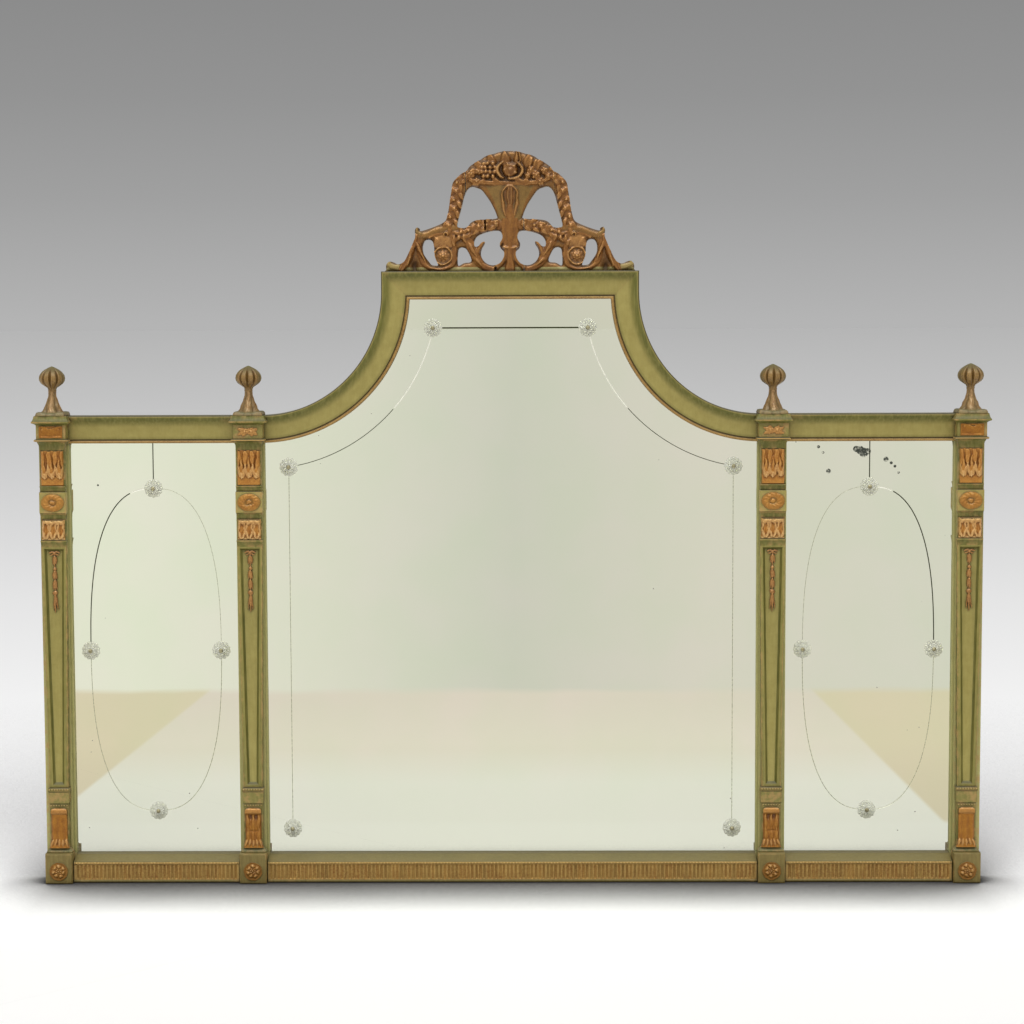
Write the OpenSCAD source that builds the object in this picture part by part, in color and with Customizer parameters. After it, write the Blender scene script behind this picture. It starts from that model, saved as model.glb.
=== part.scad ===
// Overmantel mirror in the neoclassical taste: three plates between four tapered
// pilasters, coved shoulders to the middle plate and a carved openwork crest.
// The shelf is at Z = 0, the front faces -Y and the wall side faces +Y.
// Distances called "out" are measured forward from the wall side of the frame.

/* [Overall] */
// Distance between the centre lines of the two outer pilasters
outer_span = 1580; // [1420:5:1760]
// Distance between the centre lines of the two inner pilasters
inner_span = 902; // [860:2:1000]
// Height of the side rails' top edge above the shelf
side_top = 815; // [760:1:900]
// Height of the crest rail's top edge above the shelf
crest_rail_top = 1061; // [1050:1:1120]
// Depth of the base from the wall side to the front of the base blocks
base_depth = 58; // [56:1:70]

/* [Frame moulding] */
// Width of the frame moulding from sight edge to outer edge
rail_w = 48; // [44:1:56]
// Depth of the moulding at its outer fillet
rail_d = 36; // [34:0.5:40]
// Width of the outer fillet
fillet_w = 10; // [6:0.5:12]
// Radius of the hollow between the outer fillet and the flat
hollow_r = 9; // [6:0.5:9]
// Depth of the moulding where the flat meets the hollow
flat_d = 27; // [25:0.5:28]
// Depth of the moulding at the quirk beside the sight bead
quirk_d = 21.5; // [20:0.5:23]
// Height of the step between the flat and the quirk
quirk_step = 1.5; // [1:0.5:2]
// Radius of the gilt bead at the sight edge
sight_bead_r = 2.4; // [1.8:0.1:2.6]
// Outer radius of the coved shoulders
cove_r = 211; // [190:1:225]
// How far the cove's centre lies past the inner pilaster's edge
cove_overrun = 6; // [2:1:10]

/* [Glazing] */
// Width of the lip that covers the edge of each plate
lip_w = 6; // [5:0.5:8]
// Distance from the wall side to the front face of the plates
glass_out = 14; // [13:0.5:16]
// Thickness of the mirror plates
glass_t = 5; // [4:0.5:6]
// Thickness of the backboards
board_t = 6; // [4:0.5:7]
// Clearance around a plate or board in its rebate
rebate_gap = 0.5; // [0.3:0.1:1]
// Radius of the brads that hold the backboards
brad_r = 0.8; // [0.6:0.1:1]
// Length of a brad
brad_l = 16; // [12:1:20]

/* [Cut glass rosettes] */
// Radius of a cut glass rosette over its petals
rosette_r = 16; // [13:0.5:18]
// Thickness of a rosette's lower row of petals
petal_t = 3; // [2:0.5:4]
// Number of petals in a row
petals = 8; // [6:1:10]
// Radius of a rosette screw
rosette_screw_r = 2; // [1.5:0.1:2.5]
// Length of a rosette screw under its head
rosette_screw_l = 15; // [13:0.5:16]
// Radial clearance of the screw in the glass
glass_hole_gap = 0.5; // [0.3:0.1:0.8]
// Distance of the rosettes in the middle plate from its side edges
border_in = 41; // [34:1:50]
// Height of the lowest rosettes in the middle plate
border_foot = 89; // [80:1:110]
// Distance of the engraved border from the plate's top sight edge
border_head_gap = 49; // [40:1:56]
// Radius added to the cove for the engraved border of the middle plate
border_cove = 94; // [86:1:100]
// Distance of the engraved oval's sides from the side plate's sight edges
oval_in = 30.5; // [24:0.5:40]
// Height of the engraved oval's lowest point
oval_foot = 121; // [100:1:140]
// Distance of the oval's top from the top sight edge
oval_head_gap = 79; // [60:1:100]

/* [Pilasters] */
// Width of a stile
stile_w = 50; // [48:1:56]
// Depth of a stile
stile_d = 30; // [28:0.5:32]
// Width of the low strip beside the glass
strip_w = 4; // [2:0.5:5]
// Depth of the low strip beside the glass
strip_d = 22; // [20:0.5:24]
// Width of the tapered shaft at its head
shaft_head_w = 43; // [40:0.5:45]
// Width of the tapered shaft at its foot
shaft_foot_w = 33; // [30:0.5:36]
// Thickness of the shaft in front of the stile
shaft_t = 12; // [11:0.5:14]
// Depth of the sunk panel
panel_sink = 5; // [3:0.5:6]
// Width of the frame round the sunk panel at the shaft's head
panel_edge_head = 4.5; // [3:0.5:6]
// Width of the frame round the sunk panel at the shaft's foot
panel_edge_foot = 7; // [5:0.5:9]
// Height of the shaft left solid above the sunk panel
panel_head_gap = 12; // [8:0.5:16]
// Height of the shaft left solid below the sunk panel
panel_foot_gap = 5.5; // [4:0.5:10]
// Width of the sloped sides of the sunk panel
panel_slope = 4; // [3:0.5:5]
// How far the beaded ledge and the head fillet stand in front of the shaft
ledge_proud = 3; // [2.5:0.5:4]
// How far the plain necks stand in front of the shaft
plain_neck_proud = 1; // [0.5:0.5:2]

/* [Pilaster foot] */
// Width of a base block
base_block_w = 47; // [44:0.5:48]
// Height of a base block
base_block_h = 53; // [52:0.5:60]
// Height of the spread foot under the foot leaf
spread_h = 8; // [6:0.5:12]
// How far the spread foot stands in front of the shaft
spread_proud = 4; // [2:0.5:6]
// Height of a foot leaf
foot_leaf_h = 71; // [60:1:80]
// Height of the row of beads above the foot leaf
bead_row_h = 7.5; // [6:0.5:9]
// Height of the plain block above the beads
plain_block_h = 20.5; // [16:0.5:24]
// How far the plain block stands in front of the shaft
plain_block_proud = 2; // [1:0.5:2.5]
// Height of the beaded ledge under the tapered panel
ledge_h = 7; // [5:0.5:9]
// Radius of the small beads
small_bead_r = 1.6; // [1.2:0.1:2]

/* [Pilaster head] */
// Height of the moulding between the tapered panel and the leaf band
head_fillet_h = 3; // [2:0.5:5]
// Height of a leaf band
leaf_band_h = 37; // [32:0.5:42]
// Height of the plain necks above and below the oval block
plain_neck_h = 10; // [7:0.5:13]
// Height of the block that carries the oval patera
oval_block_h = 37; // [32:0.5:42]
// Width of the block that carries the oval patera
oval_block_w = 46; // [44:0.5:48]
// How far that block stands in front of the shaft
oval_block_proud = 4; // [3:0.5:6]
// Height of an upper leaf panel
leaf_panel_h = 62; // [54:0.5:68]
// Width of the gilt panels
gilt_w = 40; // [36:0.5:42]
// Thickness of the gilt ornament's ground
gilt_ground_t = 2; // [1.5:0.5:3]
// Relief of the gilt ornament above its ground
gilt_relief = 2; // [1:0.5:3]

/* [Capital] */
// Height of the sloped neck of the capital
neck_h = 15; // [10:0.5:20]
// Height of the astragal
astragal_h = 4; // [3:0.5:6]
// Overall width of the astragal
astragal_w = 58; // [54:0.5:60]
// How far the astragal stands in front of the frieze block
astragal_proud = 3.5; // [2:0.5:5]
// Height of the frieze block
frieze_h = 25; // [20:0.5:30]
// How far the frieze block stands in front of the shaft
frieze_proud = 8; // [6:0.5:10]
// Width of the frieze block
frieze_w = 51; // [50:0.5:54]
// Height of the abacus
abacus_h = 15; // [12:0.5:18]
// Overall width of the abacus
abacus_w = 64; // [60:1:70]
// How far the abacus stands above the side rails
cap_reveal = 0.5; // [0.4:0.1:2]

/* [Finials] */
// Width of a finial's square plate
plate_w = 55; // [50:1:56]
// Height of the square plate
plate_h = 6; // [4:0.5:8]
// Width of the step round the square plate
plate_step = 3; // [2:0.5:4]
// Height of the four-leaved stem
stem_h = 34; // [28:1:40]
// Radius of the stem at its foot
stem_foot_r = 19; // [16:0.5:22]
// Radius of the stem at its neck
stem_neck_r = 7; // [5:0.5:9]
// Height of the collar between the stem and the bud
collar_h = 4; // [3:0.5:6]
// Height of the lobed bud
bud_h = 48; // [40:1:54]
// Largest radius of the bud
bud_r = 23.5; // [20:0.5:26]
// Number of lobes on the bud
bud_lobes = 10; // [8:1:12]

/* [Base rail] */
// Height of the base rail at its sight edge
base_rail_h = 49.5; // [46:0.5:52]
// Depth of the base rail at its plinth
base_rail_d = 50; // [46:0.5:52]
// Height of the plinth fillet
plinth_h = 5; // [3:0.5:7]
// Height of the fluted frieze
flute_h = 28; // [24:0.5:30]
// Depth of the frieze behind the plinth's face
frieze_sink = 2; // [1:0.5:3]
// Width of one flute
flute_w = 5; // [4:0.5:8]
// Width of the ridge between two flutes
flute_ridge = 2.6; // [2:0.1:4]
// Depth of a flute
flute_sink = 1.5; // [1:0.1:2]
// Height of the bead line above the flutes
bead_line_h = 4; // [3:0.5:5]
// Plain height left above and below each flute
flute_end = 2; // [1.5:0.5:4]
// Depth of the hollow between the bead line and the sight edge
base_hollow = 3; // [2:0.5:4]

/* [Crest] */
// Overall width of the crest
crest_w = 430; // [380:2:440]
// Overall height of the crest
crest_h = 205; // [180:1:220]
// Distance from the wall side to the middle of the crest's thickness
crest_out = 18; // [16:0.5:20]
// Half the thickness of the crest's leafwork
crest_half_t = 9; // [7:0.5:10]
// Extra thickness of the basket in front of the leafwork
basket_proud = 2; // [1:0.5:3]
// How far petals, ribs and bindings stand in front of the leafwork
relief_proud = 2.5; // [1.5:0.5:3.5]

/* [Hangers] */
// Height of the hanger rings' pivots above the shelf
hanger_z = 690; // [600:5:720]
// Width of a hanger strap
strap_w = 22; // [18:0.5:26]
// Length of a strap below its pivot
strap_l = 58; // [50:1:70]
// Thickness of a strap
strap_t = 1.5; // [1.2:0.1:2]
// Radius of the ring's wire
wire_r = 1.5; // [1.2:0.1:2]
// Running clearance between the wire and the strap's rolled eye
eye_gap = 0.08; // [0.04:0.01:0.1]
// Width of a ring over the centre lines of its sides
ring_w = 36; // [34:1:44]
// Height of a ring from its pivot to the middle of its far end
ring_h = 30; // [28:1:40]
// Radius of a hanger screw
hanger_screw_r = 2; // [1.6:0.1:2.2]
// Length of a hanger screw
hanger_screw_l = 18; // [12:1:24]
// Clearance of a hanger screw in its strap
strap_hole_gap = 0.1; // [0.05:0.05:0.3]

/* [Hidden] */

green = "#5d6a35";
olive = "#84804a";
gilt = "#a8662c";
bronze = "#8a5f33";
silver = "#d3d7c4";
cut_glass = "#c8ccc0";
pine = "#b08a5c";
brass = "#a68a4a";
steel = "#8c8c88";

wall_y = base_depth / 2;
outer_x = outer_span / 2;
inner_x = inner_span / 2;
half_stile = stile_w / 2;
side_mid_x = (outer_x + inner_x) / 2;
side_half_w = (outer_x - inner_x) / 2 - half_stile;
centre_half_w = inner_x - half_stile;
through = 1;

// Sight edges of the plates
sight_foot = base_rail_h;
sight_side_top = side_top - rail_w;
sight_crest_top = crest_rail_top - rail_w;

// Coved shoulders
cove_x = centre_half_w + cove_overrun;
cove_z = side_top + cove_r;
sight_cove_r = cove_r + rail_w;
crest_half_w = cove_x - cove_r;

// Levels of the pilaster's foot, upwards from the shelf
z_spread = base_block_h;
z_foot_leaf = z_spread + spread_h;
z_bead_row = z_foot_leaf + foot_leaf_h;
z_plain_block = z_bead_row + bead_row_h;
z_ledge = z_plain_block + plain_block_h;
z_taper = z_ledge + ledge_h;

// Levels of the pilaster's head, downwards from the top of the abacus
z_cap = side_top + cap_reveal;
z_abacus = z_cap - abacus_h;
z_frieze = z_abacus - frieze_h;
z_astragal = z_frieze - astragal_h;
z_neck = z_astragal - neck_h;
z_leaf_panel = z_neck - leaf_panel_h;
z_oval_block = z_leaf_panel - plain_neck_h - oval_block_h;
z_leaf_band = z_oval_block - plain_neck_h - leaf_band_h;
z_head = z_leaf_band - head_fillet_h;

// Sunk panel of the shaft
z_panel = z_taper + panel_foot_gap;
z_panel_top = z_head - panel_head_gap;

// Distances out from the wall side
shaft_out = stile_d + shaft_t;
ledge_out = shaft_out + ledge_proud;
oval_block_out = shaft_out + oval_block_proud;
frieze_out = shaft_out + frieze_proud;
astragal_out = frieze_out + astragal_proud;

// Where the four pilasters stand, and which of their sides face a plate
places = [-outer_x, -inner_x, inner_x, outer_x];

// ---------------------------------------------------------------- helpers

// Raises a flat outline drawn in X and Z into a slab between two distances out
module slab(from, to) {
    translate([0, wall_y - from, 0]) rotate([90, 0, 0]) linear_extrude(to - from) children();
}

// A rectangle centred on X, standing on a level
module bar(width, height, level = 0) {
    translate([-width / 2, level]) square([width, height]);
}

// A leaf outline with a point at each end, its foot at the origin
module leaf_outline(length, width) {
    r = (length * length + width * width) / (4 * width);
    translate([0, length / 2]) intersection() {
        translate([r - width / 2, 0]) circle(r, $fn = 64);
        translate([width / 2 - r, 0]) circle(r, $fn = 64);
    }
}

// Runs a moulding section along X between two levels of X, sight edge at a level of Z
module run_along_x(from, to, level) {
    translate([from, wall_y, level]) rotate([90, 0, 90]) linear_extrude(to - from)
        rotate(90) children();
}

// A smooth path through points whose last number is a radius
function blend(a, b, c, d, t) = 0.5 * (2 * b + (c - a) * t + (2 * a - 5 * b + 4 * c - d) * t * t
    + (3 * b - a - 3 * c + d) * t * t * t);
function smooth(p, steps) = [
    for (i = [0 : len(p) - 2]) for (k = [0 : steps - 1])
        blend(p[max(i - 1, 0)], p[i], p[i + 1], p[min(i + 2, len(p) - 1)], k / steps),
    p[len(p) - 1]
];
function heading(p, i) = let (a = p[max(i - 1, 0)], b = p[min(i + 1, len(p) - 1)],
    t = [b[0] - a[0], b[1] - a[1]]) t / norm(t);

// Skins a list of rings that all have the same number of points
module skin(rings) {
    sides = len(rings[0]);
    last = len(rings) - 1;
    polyhedron(
        points = [for (ring = rings) for (p = ring) p],
        faces = concat(
            [[for (k = [0 : sides - 1]) k]],
            [for (i = [0 : last - 1]) for (k = [0 : sides - 1])
                let (a = i * sides, n = (k + 1) % sides) [a + k, a + sides + k, a + sides + n, a + n]],
            [[for (k = [sides - 1 : -1 : 0]) last * sides + k]]));
}

// ------------------------------------------------------------ frame rails

// Section of the frame moulding: X runs out from the sight edge, Y runs out from the wall
module rail_section() {
    hollow_x = rail_w - fillet_w;
    hollow_y = flat_d + hollow_r;
    difference() {
        union() {
            polygon([[lip_w, 0], [rail_w, 0], [rail_w, rail_d], [hollow_x, rail_d],
                [hollow_x, hollow_y], [hollow_x - hollow_r, hollow_y],
                [hollow_x - hollow_r, flat_d], [lip_w, quirk_d + quirk_step], [lip_w, quirk_d],
                [0, quirk_d], [0, glass_out], [lip_w, glass_out]]);
            translate([sight_bead_r, quirk_d]) circle(sight_bead_r, $fn = 32);
        }
        translate([hollow_x - hollow_r, hollow_y]) circle(hollow_r, $fn = 48);
        translate([-through, rail_d]) square([rail_w + 2 * through, hollow_r + through]);
    }
}

module side_rail(side) {
    color(green) run_along_x(side * side_mid_x - side_half_w, side * side_mid_x + side_half_w,
        sight_side_top) rail_section();
}

// The part of the elevation that lies above the mitres of the crest rail
module above_mitres() {
    polygon([[-crest_half_w - through, crest_rail_top + through],
        [-crest_half_w + rail_w + through, sight_crest_top - through],
        [crest_half_w - rail_w - through, sight_crest_top - through],
        [crest_half_w + through, crest_rail_top + through]]);
}

module crest_rail() {
    color(green) intersection() {
        run_along_x(-crest_half_w - through, crest_half_w + through, sight_crest_top)
            rail_section();
        slab(-through, base_depth) above_mitres();
    }
}

module cove_rail(side) {
    start = side > 0 ? 180 : 270;
    color(green) difference() {
        union() {
            translate([side * cove_x, wall_y, cove_z]) rotate([90, 0, 0])
                rotate_extrude(angle = 90, start = start, $fn = 180)
                translate([sight_cove_r, 0]) mirror([1, 0]) rail_section();
            translate([side * (crest_half_w - rail_w), wall_y, cove_z])
                linear_extrude(crest_rail_top - cove_z) scale([side, -1]) rail_section();
        }
        slab(-through, base_depth) above_mitres();
        slab(-through, base_depth) translate([side * inner_x, side_top - rail_w / 2])
            square([stile_w, 3 * rail_w], center = true);
    }
}

// Section of the base rail: X runs up from the shelf, Y runs out from the wall
module base_rail_section() {
    bead_foot = plinth_h + flute_h;
    bead_top = bead_foot + bead_line_h;
    frieze_face = base_rail_d - frieze_sink;
    sight_face = strip_d + 2 * quirk_step;
    low = [bead_top, frieze_face];
    high = [base_rail_h - quirk_step, sight_face + quirk_step];
    chord = norm(high - low);
    r = (chord * chord / 4 + base_hollow * base_hollow) / (2 * base_hollow);
    outward = [low[1] - high[1], high[0] - low[0]] / chord;
    difference() {
        polygon([[0, 0], [base_rail_h - lip_w, 0], [base_rail_h - lip_w, glass_out],
            [base_rail_h, glass_out], [base_rail_h, sight_face], high, low,
            [bead_top, base_rail_d], [bead_foot, base_rail_d], [bead_foot, frieze_face],
            [plinth_h, frieze_face], [plinth_h, base_rail_d], [0, base_rail_d]]);
        translate((low + high) / 2 + outward * (r - base_hollow)) circle(r, $fn = 96);
    }
}

// A base rail centred at X, with flutes cut upright in its frieze
module base_rail(middle, half_w) {
    pitch = flute_w + flute_ridge;
    count = floor((2 * half_w - flute_ridge) / pitch);
    first = middle - (count - 1) * pitch / 2;
    face = base_rail_d - frieze_sink;
    r = (flute_w * flute_w / 4 + flute_sink * flute_sink) / (2 * flute_sink);
    color(olive) difference() {
        run_along_x(middle - half_w, middle + half_w, 0) base_rail_section();
        for (i = [0 : count - 1])
            translate([first + i * pitch, wall_y - face - r + flute_sink, plinth_h + flute_end])
                cylinder(h = flute_h - 2 * flute_end, r = r, $fn = 24);
    }
}

// -------------------------------------------------------------- pilasters

// A stile, rebated at the back and lowered to a strip on each side that faces a plate
module stile(x, glass_sides) {
    color(green) difference() {
        slab(0, stile_d) translate([x, 0]) bar(stile_w, z_cap);
        for (side = glass_sides) {
            slab(-through, glass_out) translate([x + side * half_stile, sight_foot - lip_w])
                bar(2 * lip_w, sight_side_top - sight_foot + 2 * lip_w);
            slab(strip_d, stile_d + through) translate([x + side * half_stile, sight_foot])
                bar(2 * strip_w, sight_side_top - sight_foot);
        }
    }
}

function shaft_w_at(z) = shaft_foot_w + (shaft_head_w - shaft_foot_w) * (z - z_taper) / (z_head - z_taper);
function panel_half(z, edge) = shaft_w_at(z) / 2 - edge;

// The sunk panel's hollow, with sloped sides
module sunk_panel() {
    floor_y = wall_y - shaft_out + panel_sink;
    face_y = wall_y - shaft_out;
    slope_out = panel_slope / panel_sink;
    a = panel_half(z_panel, panel_edge_foot);
    b = panel_half(z_panel_top, panel_edge_head);
    function loop(y, grow) = [[-a - grow, y, z_panel - grow], [a + grow, y, z_panel - grow],
        [b + grow, y, z_panel_top + grow], [-b - grow, y, z_panel_top + grow]];
    skin([loop(floor_y, -panel_slope), loop(face_y - through, slope_out * through)]);
}

module shaft(x) {
    color(green) translate([x, 0, 0]) {
        difference() {
            slab(stile_d, shaft_out) polygon([[-shaft_foot_w / 2, z_taper],
                [shaft_foot_w / 2, z_taper], [shaft_head_w / 2, z_head],
                [-shaft_head_w / 2, z_head]]);
            sunk_panel();
        }
        // Spread foot
        slab(stile_d, shaft_out + spread_proud) polygon([[-base_block_w / 2 + 1, z_spread],
            [base_block_w / 2 - 1, z_spread], [base_block_w / 2 - 1, z_spread + spread_h / 3],
            [shaft_foot_w / 2 + 1, z_foot_leaf], [-shaft_foot_w / 2 - 1, z_foot_leaf],
            [-base_block_w / 2 + 1, z_spread + spread_h / 3]]);
        // Ground of the foot leaf, plain block and ledge
        slab(stile_d, shaft_out) bar(shaft_foot_w, z_plain_block - z_foot_leaf, z_foot_leaf);
        slab(stile_d, shaft_out + plain_block_proud) bar(shaft_foot_w + 3, plain_block_h, z_plain_block);
        slab(stile_d, ledge_out) bar(shaft_foot_w + 5, ledge_h, z_ledge);
        bead_row(shaft_out, z_bead_row + bead_row_h / 2, shaft_foot_w);
        bead_row(ledge_out, z_ledge + ledge_h / 2, shaft_foot_w + 3);
        // Head fillet, grounds of the gilt panels, plain necks and the oval block
        slab(stile_d, ledge_out) bar(shaft_head_w + 2, head_fillet_h, z_head);
        slab(stile_d, shaft_out) bar(shaft_head_w, leaf_band_h, z_leaf_band);
        for (z = [z_leaf_band + leaf_band_h, z_oval_block + oval_block_h])
            slab(stile_d, shaft_out + plain_neck_proud) bar(shaft_head_w, plain_neck_h, z);
        slab(stile_d, oval_block_out) bar(oval_block_w, oval_block_h, z_oval_block);
        slab(stile_d, shaft_out) bar(shaft_head_w, leaf_panel_h, z_leaf_panel);
    }
}

// Small beads in a row across a pilaster
module bead_row(out, z, width) {
    pitch = 2.6 * small_bead_r;
    count = floor((width - 2 * small_bead_r) / pitch) + 1;
    for (i = [0 : count - 1])
        translate([(i - (count - 1) / 2) * pitch, wall_y - out, z]) sphere(small_bead_r, $fn = 24);
}

// The capital: sloped neck, astragal, frieze block and abacus, returned to the wall
// on the outer side of an outer pilaster
module capital(x, outer_side) {
    color(green) translate([x, 0, 0]) {
        slab(stile_d, shaft_out + plain_neck_proud) polygon([
            [-shaft_head_w / 2, z_neck], [shaft_head_w / 2, z_neck],
            [frieze_w / 2 - 1, z_astragal], [1 - frieze_w / 2, z_astragal]]);
        slab(stile_d, astragal_out) bar(astragal_w, astragal_h, z_astragal);
        slab(stile_d, frieze_out) bar(frieze_w, frieze_h, z_frieze);
        slab(stile_d, rail_d) bar(stile_w, abacus_h, z_abacus);
        slab(rail_d, astragal_out) bar(astragal_w, abacus_h * 0.4, z_abacus);
        slab(rail_d, base_depth) bar(abacus_w, abacus_h * 0.6, z_abacus + abacus_h * 0.4);
        if (outer_side != 0)
            slab(0, rail_d) translate([outer_side * (half_stile + abacus_w / 2) / 2, 0])
                bar(abacus_w / 2 - half_stile, abacus_h * 0.6, z_abacus + abacus_h * 0.4);
    }
}

module base_block(x) {
    edge = 1.5;
    color(olive) translate([x, 0, 0]) {
        slab(stile_d, base_depth - edge) bar(base_block_w, base_block_h);
        slab(base_depth - edge, base_depth) bar(base_block_w - 2 * edge, base_block_h - 2 * edge, edge);
    }
}

// ---------------------------------------------------------- gilt ornament

// Upper panel: three tall husks side by side over three short leaves
module leaf_panel(x) {
    ground_w = gilt_w - 1;
    step = ground_w / 3;
    color(gilt) translate([x, 0, 0]) {
        slab(shaft_out, shaft_out + gilt_ground_t)
            bar(ground_w, leaf_panel_h - 1, z_leaf_panel + 0.5);
        slab(shaft_out + gilt_ground_t, shaft_out + gilt_ground_t + gilt_relief) {
            for (i = [-1 : 1]) {
                translate([i * step, z_leaf_panel + leaf_panel_h * 0.3])
                    leaf_outline(leaf_panel_h * 0.62, step * 0.9);
                translate([i * step, z_leaf_panel + leaf_panel_h * 0.08])
                    leaf_outline(leaf_panel_h * 0.4, step * 0.72);
            }
            bar(ground_w, 2, z_leaf_panel + 1);
        }
    }
}

// Leaf band: a row of upright leaves that open at the top
module leaf_band(x) {
    ground_w = gilt_w;
    step = ground_w / 4;
    color(gilt) translate([x, 0, 0]) {
        slab(shaft_out, shaft_out + gilt_ground_t)
            bar(ground_w, leaf_band_h - 1, z_leaf_band + 0.5);
        slab(shaft_out + gilt_ground_t, shaft_out + gilt_ground_t + gilt_relief) {
            for (i = [-1.5 : 1.5]) translate([i * step, z_leaf_band + leaf_band_h * 0.06])
                leaf_outline(leaf_band_h * 0.78, step * 0.94);
            bar(ground_w, 2.5, z_leaf_band + leaf_band_h - 4);
        }
    }
}

// An ellipse as a closed outline
module ellipse(a, b) {
    count = 40;
    polygon([for (i = [0 : count - 1]) [a * cos(i * 360 / count), b * sin(i * 360 / count)]]);
}

// A half round boss on a face
module boss(out, level, r) {
    translate([0, wall_y - out, level]) rotate([90, 0, 0]) rotate_extrude($fn = 32)
        intersection() {
            circle(r, $fn = 32);
            square(r);
        }
}

// Oval patera: stepped ovals with a ring of petals
module oval_patera(x) {
    a = oval_block_w / 2 - 3;
    b = oval_block_h / 2 - 3;
    petal_count = 12;
    out = oval_block_out;
    color(gilt) translate([x, 0, 0]) {
        slab(out, out + gilt_ground_t) translate([0, z_oval_block + oval_block_h / 2])
            difference() {
                ellipse(a, b);
                ellipse(a - 2, b - 2);
            }
        slab(out, out + gilt_ground_t / 2) translate([0, z_oval_block + oval_block_h / 2])
            ellipse(a - 1, b - 1);
        slab(out, out + gilt_ground_t) translate([0, z_oval_block + oval_block_h / 2])
            for (i = [0 : petal_count - 1]) rotate(i * 360 / petal_count) translate([0, 3])
                leaf_outline(b - 6, 4);
        boss(out, z_oval_block + oval_block_h / 2, 4);
    }
}

// Ornament of the capital's frieze: a bowl of leaves
module frieze_ornament(x) {
    out = frieze_out;
    middle = z_frieze + frieze_h / 2;
    fan = 7;
    color(gilt) translate([x, 0, 0]) {
        slab(out, out + gilt_ground_t / 2) translate([0, middle]) difference() {
            square([gilt_w, frieze_h - 4], center = true);
            square([gilt_w - 3, frieze_h - 7], center = true);
        }
        slab(out, out + gilt_ground_t) translate([0, middle - frieze_h * 0.32])
            for (i = [0 : fan - 1]) rotate((i - (fan - 1) / 2) * 25)
                leaf_outline(frieze_h * 0.62, 4.2);
    }
}

// Round rosette of a base block
module base_rosette(x) {
    out = base_depth;
    r = base_block_h * 0.32;
    petal_count = 8;
    color(gilt) translate([x, 0, 0]) {
        slab(out, out + gilt_ground_t / 2) translate([0, base_block_h * 0.42]) difference() {
            circle(r, $fn = 64);
            circle(r - 2, $fn = 64);
        }
        slab(out, out + gilt_ground_t) translate([0, base_block_h * 0.42])
            for (i = [0 : petal_count - 1]) rotate(i * 360 / petal_count) translate([0, 2])
                leaf_outline(r - 3, r * 0.5);
        boss(out, base_block_h * 0.42, 3.2);
    }
}

// Outline of one bell husk that hangs from the origin: three pointed leaves
module husk_outline(length, width) {
    polygon([[-0.8, 0], [0.8, 0], [width * 0.3, -length * 0.25], [width * 0.5, -length * 0.72],
        [width * 0.2, -length * 0.6], [0, -length], [-width * 0.2, -length * 0.6],
        [-width * 0.5, -length * 0.72], [-width * 0.3, -length * 0.25]]);
}

// Drop of bell husks, hung from the head of the sunk panel
module husk_drop(x) {
    husks = 5;
    length = 104;
    pitch = length / husks;
    out = shaft_out - panel_sink;
    top = z_panel_top - panel_slope;
    color(gilt) translate([x, 0, 0]) {
        slab(out, out + 1.5) bar(1.6, length - 2, top - length + 2);
        slab(out, out + 2) bar(15, 2.5, top - 2.5);
        for (i = [0 : husks - 1])
            slab(out, out + 3) translate([0, top - 3 - i * pitch])
                husk_outline(pitch * 0.95, 13 - i);
    }
}

// Foot leaf: three long flutes under a rolled top, flaring at the foot
module foot_leaf(x) {
    half = shaft_foot_w / 2 - 1;
    z = z_foot_leaf;
    h = foot_leaf_h;
    roll_r = 4;
    color(gilt) translate([x, 0, 0]) difference() {
        union() {
            slab(shaft_out, shaft_out + gilt_ground_t + gilt_relief) polygon([
                [-half - 3, z + 0.5], [half + 3, z + 0.5], [half + 2, z + h * 0.08],
                [half - 1, z + h * 0.3], [half - 1, z + h - 4], [half - 3, z + h - 0.5],
                [3 - half, z + h - 0.5], [1 - half, z + h - 4], [1 - half, z + h * 0.3],
                [-half - 2, z + h * 0.08]]);
            translate([2 - half, wall_y - shaft_out - roll_r, z + h - roll_r - 1])
                rotate([0, 90, 0]) cylinder(h = 2 * half - 4, r = roll_r, $fn = 32);
        }
        for (i = [-1.5 : 1.5])
            translate([i * half / 2.4, wall_y - shaft_out - gilt_ground_t - gilt_relief - 1, z - through])
                rotate([0, i * 1.2, 0]) cylinder(h = h * 0.82, r = 2.2, $fn = 24);
    }
}

// ---------------------------------------------------------------- finials

// A turned form whose rings swell into lobes: levels are [height, radius, lobe depth]
module lobed(levels, lobes, per_lobe) {
    sides = lobes * per_lobe;
    skin([for (l = levels) [for (k = [0 : sides - 1])
        let (a = 360 * k / sides, r = l[1] * (1 - l[2] * (1 - abs(cos(lobes * a / 2)))))
        [r * cos(a), r * sin(a), l[0]]]]);
}

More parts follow.
